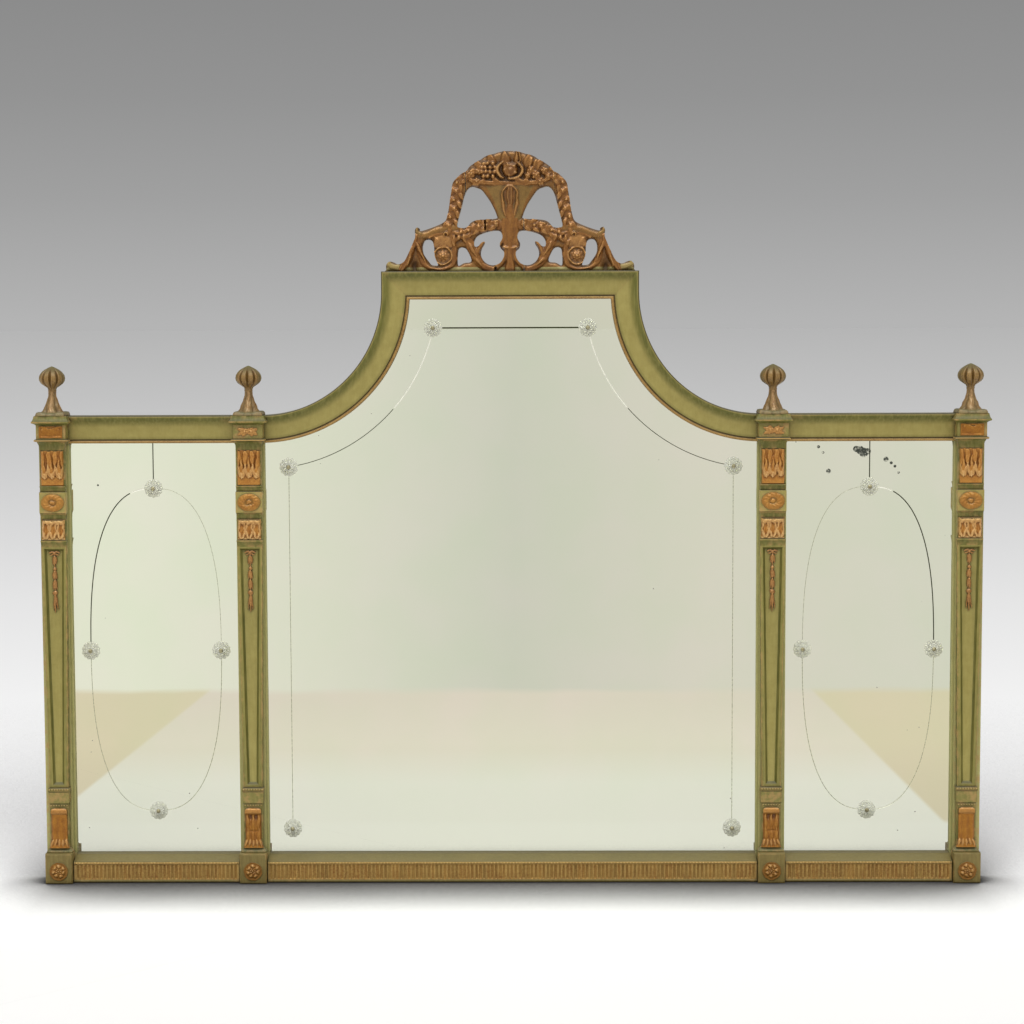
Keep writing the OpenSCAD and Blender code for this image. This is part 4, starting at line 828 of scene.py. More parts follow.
def cove_line(side):
    def line(u):
        radius = SIGHT_COVE_R - u
        start = 3 * math.pi / 2 - math.asin((COVE_X - CENTRE_HALF) / radius)
        corner_z = SIGHT_CREST + u
        end = math.pi + max(0.0, math.asin(max(0.0, COVE_Z - corner_z) / radius))
        bend = radius * (start - end)
        rise = max(0.0, corner_z - COVE_Z)
        out = []
        for d in np.linspace(0, bend + rise, 61):
            if d <= bend:
                a = start - d / radius
                out.append((side * (COVE_X + radius * math.cos(a)), COVE_Z + radius * math.sin(a)))
            else:
                out.append((side * (COVE_X - radius), COVE_Z + d - bend))
        if rise == 0:
            out[-1] = (side * (COVE_X + radius * math.cos(end)), corner_z)
        return out
    return line


SIDES = (("_left", -1), ("_right", 1))
for word, side in SIDES:
    rail("side", word, side_line(side))
rail("crest", "", crest_line)
for word, side in SIDES:
    rail("cove", word, cove_line(side))

# --------------------------------------------------------------- base rails
BASE, BASE_LOOK = rounded(
    [(0, 0, 0.5, OLIVE), (43.5, 0, 0, OLIVE), (43.5, 14, 0, OLIVE), (45.8, 14, 0, GRIME_AND_SHADE),
     (45.8, 24.6, 0.4, GRIME_AND_SHADE), (44.8, 26.4, 0.4, GREEN), (43.8, 28.6, 0, GREEN), (42.4, 32, 0, GREEN),
     (40.8, 36.3, 0, (0, 0.3, 0)), (39.2, 41.2, 0, (0, 0.5, 0)), (37.9, 46, 0, OLIVE), (37.4, 48, 0, GRIME_AND_SHADE),
     (37.2, 48.6, 0, OLIVE), (36.6, 49.2, 0, (0.7, 0.2, 0)), (33.4, 49.2, 0, (0.7, 0.2, 0)),
     (32.8, 48.4, 0, GRIME_AND_SHADE), (32.6, 46, 0, GRIME_AND_SHADE), (5.4, 46, 0, GRIME_AND_SHADE), (5.4, 49.2, 1.2, OLIVE),
     (0, 49.4, 2.6, OLIVE)], 4)
PITCH, FLUTE_W, FLUTE_DEEP, BEAD_PITCH = 6.9, 4.4, 1.5, 5.5
# Share of the depth: across a flute, in halves of its width, and up it, by height
FLUTE_ACROSS = [(-1.12, 0), (-0.98, 0.12), (-0.72, 0.52), (-0.38, 0.88), (0, 1), (0.38, 0.88), (0.72, 0.52),
                (0.98, 0.12), (1.12, 0)]
FLUTE_UP = [(5.2, 0), (6.6, 0), (7.2, 0.45), (8, 0.8), (9.4, 1), (19, 1), (28.6, 1), (30, 0.8),
            (30.8, 0.45), (31.4, 0), (32.8, 0)]


def base_rail(word, middle, half, seed):
    random = np.random.default_rng(seed)
    made = Form()
    sweep(made, BASE, BASE_LOOK, lambda u: [(x, u) for x in np.linspace(middle - half, middle + half, 13)])
    # Fluted frieze: a height field whose columns follow each flute's round, cut a little unevenly
    count = int((2 * half - 2.6) // PITCH)
    first = middle - (count - 1) * PITCH / 2
    columns = [(middle - half, 0.0, 0.3)]
    for i in range(count):
        shift, width = random.normal(0, 0.25), FLUTE_W * random.uniform(0.75, 1.1)
        dip, colour = random.uniform(0.45, 1.0), random.uniform(0, 1)
        columns += [(first + i * PITCH + shift + t * width / 2, d * dip, colour) for t, d in FLUTE_ACROSS]
    columns.append((middle + half, 0.0, 0.3))
    cols, deep, tint = np.array(columns).T
    rings, looks = [], []
    for z, share in FLUTE_UP:
        front = np.column_stack([cols, 48 - FLUTE_DEEP * deep * share, np.full(len(cols), z)])
        rings.append(np.concatenate([front, [(cols[-1], 40.0, z), (cols[0], 40.0, z)]]))
        # Each flute darkens with its depth: dirt and painted shade
        worn = np.column_stack([0.65 + 0.35 * tint, np.where(deep < 0.05, 0.35, 0.1),
                                0.15 * deep * share + 0.1 * tint])
        looks.append(np.concatenate([worn, [OLIVE, OLIVE]]))
    skin(made, rings, looks)
    beads = int((2 * half - 3) // BEAD_PITCH)
    ball_row(made, middle + (np.arange(beads) - (beads - 1) / 2) * BEAD_PITCH, 35, 48.4, 1.8, (1, 0.8, 0))
    piece("base_rail_fluted" + word, made, olive_gilt, "base_rail" + word)


base_rail("_left", -SIDE_MID, SIDE_HALF, 11)
base_rail("_centre", 0.0, CENTRE_HALF, 12)
base_rail("_right", SIDE_MID, SIDE_HALF, 13)


# ---------------------------------------------------------------- pilasters
def shaft_half(z):
    return (SHAFT_FOOT_W + (SHAFT_HEAD_W - SHAFT_FOOT_W) * (z - Z_TAPER) / (Z_HEAD - Z_TAPER)) / 2


def frame_ring(z0, z1, inset0, inset1, out):
    """A four-cornered ring of the tapered shaft, set in from its sides."""
    a, b = shaft_half(z0) - inset0, shaft_half(z1) - inset1
    return [(-a, out, z0), (a, out, z0), (b, out, z1), (-b, out, z1)]


def shaft_form():
    made = Form()
    z0, z1 = Z_TAPER, Z_HEAD
    p0, p1 = 172.5, 585.5
    rings = [frame_ring(z0, z1, 0, 0, STILE_OUT), frame_ring(z0, z1, 0, 0, 40.9),
             frame_ring(z0 + .2, z1 - .2, .4, .4, 41.7), frame_ring(z0 + .6, z1 - .6, 1, 1, SHAFT_OUT),
             frame_ring(p0 - .4, p1 + .4, 6.6, 4.1, SHAFT_OUT), frame_ring(p0, p1, 7, 4.5, 41.6),
             frame_ring(p0 + .6, p1 - .6, 7.6, 5.1, 40.4), frame_ring(p0 + 3.4, p1 - 3.4, 10.4, 7.9, 37.5),
             frame_ring(p0 + 4.2, p1 - 4.2, 11.2, 8.7, 37.05)]
    # The sunk panel's sloping sides are darkened: painted shade
    looks = [GREEN, GREEN, EDGE_WORN, (0, .45, 0), (0, .45, 0), (.1, .4, 0), (0, 0, .25), (0, 0, .25),
             (0, .85, 0)]
    skin(made, rings, [[look] * 4 for look in looks])
    # Spread foot, ground of the foot leaf, plain block and ledge
    stack(made, [(53, 22.4, 45.6, GRIME_AND_SHADE), (53.6, 22.6, 46, GREEN), (55.4, 22.4, 45.8, GREEN),
                 (58, 19.4, 43.8, GREEN), (61, 17.4, 42.4, GREEN), (61.2, 16.5, 42, GRIME_AND_SHADE)])
    stack(made, [(60.8, 16.5, 42, GREEN), (139.6, 16.5, 42, (0, .5, .2))])
    stack(made, [(139.5, 17.6, 43.4, GRIME_AND_SHADE), (140.2, 18, 44, (0, .5, .1)), (159.3, 18, 44, (0, .5, .1)),
                 (160, 17.6, 43.4, GRIME_AND_SHADE)])
    stack(made, [(160, 18.4, 44, GRIME_AND_SHADE), (160.6, 19, 44.8, (.1, .35, .4)), (163, 19, 44.8, (.1, .35, .4)),
                 (166, 18.6, 44.3, (.1, .3, .4)), (167, 18, 43.6, GRIME_AND_SHADE)])
    for z, out, width in ((Z_BEADS + 3.75, 42.0, 33), (Z_LEDGE + 4.2, 44.6, 36)):
        count = int((width - 3.4) / 4.6) + 1
        ball_row(made, (np.arange(count) - (count - 1) / 2) * 4.6, z, out, 1.7, (0.4, 0.9, 0.15))
    # Head cavetto, grounds of the gilt panels, necks and the oval block
    stack(made, [(588.5, 21.6, 42, GREEN), (592, 21.75, 42.4, GREEN), (595.5, 22, 43.6, GREEN),
                 (597.4, 22.3, 44.7, GREEN), (598, 22.5, 45, (0, .3, 0)), (600, 22.5, 45, (0, .5, 0)),
                 (600.5, 22, 44.4, GREEN)])
    stack(made, [(600.4, 21.5, 42, GREEN), (637.6, 21.5, 42, GREEN)])
    for z in (Z_NECK_LOW, Z_NECK_HIGH):
        stack(made, [(z, 21.5, 42.4, GREEN), (z + 1, 21.5, 43, GREEN), (z + 4.5, 21.5, 43, GREEN),
                     (z + 7.5, 22.0, 43.8, GREEN), (z + 9, 22.6, 45, (0, .4, 0)),
                     (z + 10, 22.4, 44.6, GREEN)])
    stack(made, [(Z_OVAL, 22.4, 45.2, GREEN), (Z_OVAL + .7, 23, 46, KHAKI), (Z_OVAL + 36.3, 23, 46, KHAKI),
                 (Z_OVAL + 37, 22.4, 45.2, GREEN)])
    stack(made, [(Z_LEAF, 21.5, 42, GREEN), (Z_CAP_NECK, 21.5, 42, GREEN)])
    return made


def capital_form(outer):
    """Neck, astragal, frieze and abacus; outer is -1, 0 or 1, the side that returns to the wall."""
    made = Form()
    stack(made, [(756.5, 21.5, 43, GREEN), (758, 21.6, 43, GREEN), (762, 21.9, 43.2, GREEN),
                 (766, 22.8, 44.4, GREEN), (769, 24, 46.6, GREEN), (771.5, 25, 49, (0, 0, .3))])
    # The astragal's pale gilt bead is partly painted highlight, and the dark lines above and below it are
    # dirt and painted shade
    stack(made, [(771.5, 27.6, 51.6, GRIME_AND_SHADE), (772.3, 28.5, 52.6, (.4, 0, .8)),
                 (772.7, 29, 53.4, (.7, .6, .1)), (773.9, 29, 53.4, (.7, .6, .1)),
                 (774.3, 28.5, 52.6, (.4, 0, .8)), (775.5, 27.4, 51.4, GRIME_AND_SHADE)])
    stack(made, [(775.5, 25.2, 49.7, (0, .3, .5)), (776.4, 25.5, 50, (0, .6, 0)),
                 (800.5, 25.5, 50, (0, .6, 0))])
    stack(made, [(799.5, 25.5, 50, GREEN), (801, 26.6, 51.2, GREEN), (802.6, 29, 54.6, GREEN),
                 (803.4, 31.4, 57.2, (0, .1, 0)), (804, 32, 58, (0, .2, 0)), (806, 32, 58, (0, .3, 0)),
                 (806.6, 31.4, 57.3, GREEN), (808, 30.2, 56.2, GREEN), (812, 28.8, 54.6, GREEN),
                 (815.5, 28.2, 53.8, GREEN)])
    if outer:
        stack(made, [(803.4, 3.2, 36, GREEN), (804, 3.5, 36, (0, .8, 0)), (806, 3.5, 36, (0, .8, 0)),
                     (808, 2.7, 36, GREEN), (815.5, 2.2, 36, GREEN)], x=outer * 28.5, back=0.0)
    return made


# ------------------------------------------------------------ gilt ornament
def framed(c, half, low, high):
    """Brings the carving down to its ground along the edge of its field."""
    edge = np.minimum(half - np.abs(c.true_x), np.minimum(c.true_z - low, high - c.true_z))
    c.height = np.minimum(c.height, 42.6 + 1.7 * edge)
    return c


def leaf_panel_form(seed):
    """Pointed leaves standing over a plain slope, with tongues hanging between them from the head."""
    random = np.random.default_rng(seed)
    z0 = Z_LEAF
    c = Carving(-19.5, 19.5, z0 + 0.5, z0 + 61.5, 0.5, ground=43.6).unsteady(seed, 0.5, 17)
    c.gilt[:] = 0.95
    c.height += 1.6 * np.clip((z0 + 15 - c.z) / 14, 0, 1) ** 1.3
    for i in (-1.5, -0.5, 0.5, 1.5):
        c.leaf(i * 11.4, z0 + 62, 270 + random.normal(0, 2) + i * 2, 34, 12.5, 43.8, 3.4, midrib=0.5,
               curl=1.4, tip=1.6)
    for i in (-1, 0, 1):
        x = i * 12.6 + random.normal(0, 0.5)
        for turn in (-1, 1):
            c.leaf(x + 1.6 * turn, z0 + 13, 90 - turn * 13, 26, 7.5, 44.4, 3.2, midrib=0.5, curl=1.6,
                   gilt=(1.0, 0.35))
        c.leaf(x, z0 + 14, 90 + random.normal(0, 2), 36, 8.0, 44.0, 3.6, midrib=0.9, curl=0.8)
        c.leaf(x, z0 + 24, 270, 13, 6.5, 45.2, 2.6, midrib=0.4, curl=1.0, gilt=(1.0, 0.5))
    c.wear(random, 2.2, 1.1)
    return framed(c, 19.5, z0 + 0.5, z0 + 61.5)


def leaf_band_form(seed):
    """Upright leaves whose heads roll forward under a bright lip."""
    random = np.random.default_rng(seed)
    z0 = Z_BAND
    c = Carving(-20, 20, z0 + 0.5, z0 + 36.5, 0.5, ground=43.2).unsteady(seed, 0.45, 15)
    c.gilt[:] = 0.9
    for i in (-1, 0, 1):
        x = i * 12.8 + random.normal(0, 0.4)
        c.leaf(x, z0 + 1, 90 + i * 2, 31, 12, 43.0, 3.0, midrib=1.6, curl=0.4)
        for turn in (-1, 1):
            c.leaf(x + turn, z0 + 2, 90 - turn * 20, 19, 6.5, 43.8, 3.2, midrib=0.5, curl=1.4,
                   gilt=(1.0, 0.5))
            c.leaf(x + 3.6 * turn, z0 + 31, 270 + turn * 6, 17, 5.4, 43.8, 3.0, midrib=0.4, gilt=(1.0, 0.4))
    wave = z0 + 31.3 + 0.9 * np.sin(c.x * 0.75)
    roll = dome(c.z, wave, 4.6)
    c.height = np.maximum(c.height, 43.4 + 4.2 * np.sqrt(roll) * (roll > 0))
    c.tone = np.where(roll > 0.05, 0.45, c.tone)
    c.tone = np.where(c.z < z0 + 3.4, 0.8, c.tone)
    c.wear(random, 2.2, 1.3)
    return framed(c, 20, z0 + 0.5, z0 + 36.5)


def patera_form(seed):
    """Oval patera: soft petals that turn about a raised eye."""
    random = np.random.default_rng(seed)
    a, b, z0 = 20.0, 15.5, Z_OVAL + 18.5
    c = Carving(-20.6, 20.6, z0 - 16, z0 + 16, 0.5)
    c.inside = (1 - np.hypot(c.x / a, (c.z - z0) / b)) * b
    c.unsteady(seed, 0.6, 17)
    gx, gz = c.x / a, (c.z - z0) / b
    d, ang = np.hypot(gx, gz), np.arctan2(gz, gx) + random.normal(0, 0.3)
    swirl = (5.5 * (ang + 0.9 * d) / math.pi) % 1.0
    petal = dome(d, 0.62, 0.36) * (0.6 + 0.4 * np.sin(math.pi * swirl ** 0.6))
    c.height = (46.7 + 0.6 * bell(d, 0.95, 0.05) + 2.7 * petal + 2.8 * np.sqrt(dome(d, 0, 0.27))
                - 0.4 * bell(d, 0.32, 0.05))
    c.gilt = np.clip(0.6 + 0.15 * (c.height - 47), 0, 0.9)
    return c.wear(random, 2.2, 1.6, soften=2, grain=0.06)


def frieze_form(outer, seed):
    """Outer capitals carry a bordered bowl of fruit, inner ones a loose spray on the green."""
    random = np.random.default_rng(seed)
    z0 = Z_FRIEZE + 12.5
    c = Carving(-20.5, 20.5, z0 - 11, z0 + 11, 0.5, ground=49.6 if outer else None)
    if outer:
        edge = np.minimum(19.5 - np.abs(c.x), 9.5 - np.abs(c.z - z0))
        c.inside = edge + 0.9
        c.height = 50.4 + 1.1 * bell(edge, 0.6, 0.9)
        c.unsteady(seed, 0.3, 15)
        bowl = np.clip(1 - (c.x / 17.5) ** 2 - ((c.z - z0 - 4) / 11) ** 2, 0, 1) * (c.z < z0 + 4)
        gadroons = 0.5 * (0.5 + 0.5 * np.cos(c.x * 1.6)) * (bowl > 0)
        c.height = np.maximum(c.height, 50.4 + 2.6 * np.sqrt(bowl) - gadroons)
        for i in range(-3, 4):
            c.ball(i * 4.6 + random.normal(0, 0.4), z0 + 5.2 + random.normal(0, 0.6), 2.9, 50.6, 2.4)
        for i in (-1, 1):
            c.leaf(i * 4, z0 + 4, 90 - i * 62, 15, 6, 50.8, 2.0, midrib=0.5)
    else:
        c.open_work = True
        c.unsteady(seed, 0.5, 13)
        for i in (-1, 1):
            for angle, length, width in ((22, 14, 9), (-26, 14, 9), (62, 9, 8), (-66, 9, 8)):
                c.leaf(i * 5, z0, 90 + i * (angle - 90), length, width, 50, 2.4, midrib=0.3, curl=0.8,
                       gilt=(0.9, 0.2))
            c.bloom(i * 5.6, z0 + 0.4 * i, 7.2, 5, 50.2, 3.2, eye=0.34, turn=i, gilt=(0.95, 0.35))
            c.ball(i * 11.5, z0 + 2, 1.8, 50.5, 2.0, gilt=(1, 0.8))
        c.tone = np.maximum(c.tone, 0.45)
    return c.wear(random, 2.0, 1.3, soften=2)


def base_rosette_form(seed):
    """Round flower: a few pale petal tips about a dark red heart, in a plain dish."""
    random = np.random.default_rng(seed)
    z0, r = 22.3, 16.6
    c = Carving(-17.4, 17.4, z0 - 17.4, z0 + 17.4, 0.5)
    c.inside = r - np.hypot(c.x, c.z - z0)
    c.unsteady(seed, 0.5, 13)
    d, a = np.hypot(c.x, c.z - z0), np.arctan2(c.z - z0, c.x) + random.normal(0, 0.3)
    c.height = 58.2 + 0.5 * bell(d, 15.0, 1.4)
    c.gilt = np.where(d > 15.6, 0.3, 0.85)
    lobe = np.abs(np.cos(3.5 * a)) ** 0.7
    petal = dome(d, 8.2, 4.2) * lobe
    c.height += 2.6 * petal * (0.55 + 0.45 * np.clip(d / 10, 0, 1))
    inner = dome(d, 3.9, 2.4) * np.abs(np.sin(3.5 * a)) ** 0.8
    c.height = np.maximum(c.height, 58.4 + 2.0 * inner)
    c.ball(0, z0, 2.2, 58.6, 2.0, gilt=0.7)
    c.wear(random, 2.4, 1.0, rub_and_highlight=1.2)
    c.grime_and_shade = np.clip(c.grime_and_shade + 0.35 * bell(d, 0, 5.5) + 0.3 * (d > 12.6), 0, 1)
    return c


def husk_drop_form(seed):
    """A ribbon knot, then husks and berries threaded close on a cord, and a long bud."""
    random = np.random.default_rng(seed)
    top = 581.0
    c = Carving(-9.5, 9.5, top - 110, top + 1, 0.45)
    base = 37.6
    c.open_work = True
    c.unsteady(seed, 0.25, 17)
    c.stalk([(0, top - 2, 1.2), (0, top - 60, 1.1), (0, top - 98, 1.0)], base, 1.4)
    for i in (-1, 1):
        c.stalk([(0, top - 2, 1.6), (i * 4, top - 0.8, 1.8), (i * 8.6, top - 2.6, 1.3)], base, 1.8)
        c.stalk([(0, top - 2, 1.4), (i * 3.4, top - 5.5, 1.3), (i * 7, top - 6.5, 0.9)], base, 1.5)
    c.ball(0, top - 3.5, 2.8, base, 2.6)
    for down, length, half in ((8, 18, 5.0), (26, 9, 3.4), (34, 18, 4.6), (50, 20, 4.4), (68, 9, 4.6),
                               (75, 33, 3.4)):
        drop = top - down
        if length < 10:
            c.ball(0, drop - length / 2, half, base, 3.2)
            continue
        for i in (-1, 1):
            c.leaf(i * 0.3 * half, drop, 270 + i * 6 + random.normal(0, 1.5), length * 0.86, half * 1.1,
                   base, 2.8, midrib=0.2, curl=0.9, gilt=(1.0, 0.15))
        c.leaf(0, drop, 270, length, half * 1.35, base + 0.6, 3.2, midrib=0.4)
        c.ball(0, drop - 1.2, 2.0, base + 1.0, 2.4)
    c.tone = np.maximum(c.tone, 0.4)
    return c.wear(random, 1.8, 1.2, dirt_and_shade=0.5)


def foot_leaf_form(leafy, seed):
    """A gilt foot: a rolled head over long flutes, or over carved leafage, spreading in toes below."""
    random = np.random.default_rng(seed)
    z0, h = Z_FOOT_LEAF + 0.5, 70.0
    c = Carving(-19, 19, z0, z0 + h, 0.5)
    t = (c.z - z0) / h
    corner = 5.0 * (1 - np.sqrt(dome(np.clip((c.z - z0 - h + 5.0) / 5.0, 0, 1), 0, 1)))
    half = 14.0 + 3.8 * np.clip(1 - t / 0.24, 0, 1) ** 1.5 - corner
    c.inside = half - np.abs(c.x)
    c.unsteady(seed, 0.3, 19)
    s = np.abs(c.x) / np.maximum(half, 1)
    c.height = 43.4 + 2.4 * np.sqrt(np.clip(1 - s ** 4, 0, 1)) + 1.6 * np.clip(1 - t / 0.25, 0, 1) ** 1.3
    if leafy:
        c.height -= 0.8 * np.clip((0.9 - t) / 0.08, 0, 1)
        for level, tall, wide in ((0.46, 28, 9.5), (0.12, 27, 10)):
            for i in (-1, 0, 1):
                c.leaf(i * 8.4 + random.normal(0, 0.3), z0 + level * h, 90 - i * 3, tall, wide, 43.8, 3.2,
                       midrib=0.6, curl=1.6)
        for i in (-1, 1):
            c.sink(i * 4.8, z0 + 0.77 * h, 2.8, 5.0, 4.0)
        c.sink(0, z0 + 0.42 * h, 11, 1.8, 1.0)
    else:
        deep = np.clip((0.84 - t) / 0.14, 0, 1) * np.clip(t / 0.1, 0, 1)
        c.height -= 1.5 * deep * (0.5 + 0.5 * np.cos(c.x / 14.0 * math.pi * 2.5 + math.pi * 0.5)) ** 1.5
    # Rolled head, and toes with pale tips
    roll = dome(t, 0.915, 0.085)
    c.height = np.maximum(c.height, (43.6 + 4.0 * np.sqrt(roll)) * (roll > 0))
    c.tone = np.where(roll > 0.15, 0.3, c.tone)
    for i in range(-2, 3):
        c.leaf(i * 5.2, z0 + 15, 270 + i * 9, 15.5, 6.4, 44.4, 3.2, midrib=0.0, curl=0.6, tip=-0.4,
               gilt=(1.0, 0.4))
    c.wear(random, 2.2, 1.1, grain=0.04)
    c.height = np.minimum(c.height, 47.9)
    return c


BUD = np.array([(0, 6.6), (4, 8.2), (7, 13.0), (11, 18.6), (15.5, 21.6), (20, 22.4), (24.5, 21.6),
                (28.5, 19.4), (32, 16.4), (35, 12.4), (37.5, 8.0), (39.4, 4.4), (40.8, 1.0)])
BUD_FOOT, BUD_TALL, BUD_LOBES = 44.2, 40.8, 10


def finial_form(seed):
    """Ragged leaf plate, a stem of drooping leaves and the lobed bud."""
    random = np.random.default_rng(seed)
    made = Form()
    z = Z_CAP

    def turned(levels, sides, shape):
        """A turned form: shape(t, angles) gives the radius, the rise and the finish round a level."""
        angles = np.linspace(0, 2 * math.pi, sides, endpoint=False)
        rings, looks = [], []
        for level, t in levels:
            r, rise, look = shape(t, angles)
            rings.append(np.column_stack([r * np.cos(angles), WALL + r * np.sin(angles),
                                          level + rise + 0 * angles]))
            looks.append(np.column_stack([np.broadcast_to(v, angles.shape) for v in look]))
        skin(made, rings, looks)

    waves = random.uniform(0, 6.28, 6)

    def ragged(angles, amount):
        return amount * sum(np.sin((3 + 2 * k) * angles + w) / (1 + 0.4 * k) for k, w in enumerate(waves))

    def plate(t, a):
        """A square plate whose corners are leaf tips, drawn out and turned up."""
        shrink, rise = t
        square = (26.0 - shrink) / np.maximum(np.abs(np.cos(a)), np.abs(np.sin(a)))
        corner = np.abs(np.sin(2 * a)) ** 4
        r = square * (1 - 0.10 * (square / 26.0 - 1)) + ragged(a, 0.55)
        fold = np.abs(np.sin(6 * a + waves[0]))
        # The valleys of the folds are darkened: dirt and painted shade
        return r, rise * (1.6 * corner + 0.5 * fold), (0.1 + 0.1 * corner, 0.8, 0.2 + 0.4 * (fold < 0.3))

    turned([(z, (0.8, 0)), (z + 0.7, (0, 0)), (z + 2.4, (0, 0.3)), (z + 4.4, (2.0, 1)), (z + 5.4, (6, 1)),
            (z + 5.8, (11, 0.3))], 112, plate)

    def stem(t, a):
        """Four drooping leaves with pale ribs that are partly painted highlight, between dark folds of dirt
        and painted shade.
        """
        base = np.interp(t, (0, 0.08, 0.2, 0.38, 0.58, 0.78, 1.0), (20.5, 17.6, 14.6, 12.2, 8.9, 6.6, 6.3))
        wander = a + 0.10 * np.sin(5 * t + waves[1]) + 0.05 * np.sin(13 * t + waves[2])
        leaf = np.abs(np.cos(2 * wander))
        rib = bell(leaf, 1, 0.02)
        lump = 0.5 * np.sin(17 * t + 3 * np.cos(4 * a + waves[3])) * (1 - t)
        r = base * (1 - (0.28 - 0.16 * t) * (1 - leaf) ** 1.3) + 1.0 * rib * (1 - 0.6 * t) + lump
        slow, quick = np.sin(5 * a + waves[5] + 9 * t), np.sin(23 * t + 4 * np.sin(3 * a + waves[4]))
        blotch = 0.5 + 0.5 * quick * slow
        return r, 0.0, (0.55 + 0.45 * leaf, 0.45 + 0.55 * rib, 0.6 * (1 - leaf) ** 2 + 0.35 * blotch ** 2)

    turned([(z + 4.8 + 37.2 * t, t) for t in np.linspace(0, 1, 26)], 96, stem)
    turned([(z + 40.6 + 4.4 * t, t) for t in np.linspace(0, 1, 6)], 40,
           lambda t, a: (6.2 + 1.0 * math.sin(math.pi * t) + ragged(a, 0.12), 0.0, (0.8, 0.3, 0.3)))

    def bud(t, a):
        radius = np.interp(t * BUD_TALL, BUD[:, 0], BUD[:, 1])
        swell = np.interp(t, (0, 0.15, 0.4, 0.75, 0.93, 1), (0.02, 0.16, 0.24, 0.22, 0.08, 0))
        across = np.abs(((a * BUD_LOBES / (2 * math.pi) + 0.5) % 1.0) - 0.5) * 2
        groove = 1 - 0.9 * swell * np.clip((across - 0.5) / 0.42, 0, 1) ** 1.2
        flat = 0.03 * swell * bell(across, 0, 0.35)
        # Grooves are darkened with dirt and painted shade; the pale lines by the lobes' edges are painted
        # highlight
        dirt_and_shade = bell(across, 1, 0.38) * np.interp(t, (0, .12, .85, 1), (0.4, 1, 1, 0.4))
        pale = 0.25 * bell(across, 0, 0.3) + 0.7 * bell(across, 0.55, 0.08)
        # Towards the left and right, as seen from the front, the bud loses gilding and paleness and
        # darkens: painted shade
        far = np.abs(np.cos(a)) ** 8
        gold = np.where(t > 0.94, 0.1, 0.8) * (1 - 0.75 * far)
        return radius * (groove - flat), 0.0, (gold, pale * (1 - 0.6 * far), 0.95 * dirt_and_shade + 0.25 * far)

    turned([(z + BUD_FOOT + BUD_TALL * t, t) for t in np.linspace(0, 1, 44)], 192, bud)
    return made


# Ornament of which one node holds all four, with its gilding
ORNAMENT = {"leaf_bands": copper_gilt, "oval_pateras": copper_gilt, "frieze_ornaments": foot_gilt,
            "base_rosettes": foot_gilt, "husk_drops": carved_gilt}
GROUND = SHAFT_OUT - 0.5
groups = {node: Form() for node in ORNAMENT}
shaft = shaft_form()
block = block_form(rectangle(23.5, 0, 53), STILE_OUT, 57.4, 2.6, OLIVE, (0.05, 0.5, 0.1), 5)
for number, (place, x) in enumerate(PLACES.items()):
    outer = {"outer_left": -1, "outer_right": 1}.get(place, 0)
    where = (x, x > 0)
    piece("shaft_panelled_" + place, shaft.shifted(x), green_paint, "shaft_" + place)
    piece("capital_moulded_" + place, capital_form(outer).shifted(x), green_paint,
          "capital_" + place)
    piece("base_block_worn_" + place, block.shifted(x), olive_gilt, "base_block_" + place)
    piece("finial_carved_" + place, finial_form(20 + number).shifted(x), bud_gilt,
          "finial_" + place)
    piece("leaf_panel_carved_" + place, leaf_panel_form(30 + number).into(Form(), GROUND, 42.3, *where),
          copper_gilt, "leaf_panel_" + place)
    piece("foot_leaf_carved_" + place,
          foot_leaf_form(not outer, 40 + number).into(Form(), GROUND, 42.6, *where),
          foot_gilt, "foot_leaf_" + place)
    leaf_band_form(50 + number).into(groups["leaf_bands"], GROUND, 42.3, *where)
    patera_form(60 + number).into(groups["oval_pateras"], 45.5, 46.4, *where)
    frieze_form(bool(outer), 70 + number).into(groups["frieze_ornaments"], 49.5, 50.2, *where)
    base_rosette_form(80 + number).into(groups["base_rosettes"], 57, 57.9, *where)
    husk_drop_form(90 + number).into(groups["husk_drops"], 36.6, 37.6, *where)
for node, gilding in ORNAMENT.items():
    piece(node + "_carved", groups[node], gilding, node)

# -------------------------------------------------------------------- crest
BLOCK_LOW, BLOCK_HIGH, BLOCK_STEP = 24.0, 76.0, 92.0
BACK, RIM, JOINT = 9.0, 13.0, 0.05
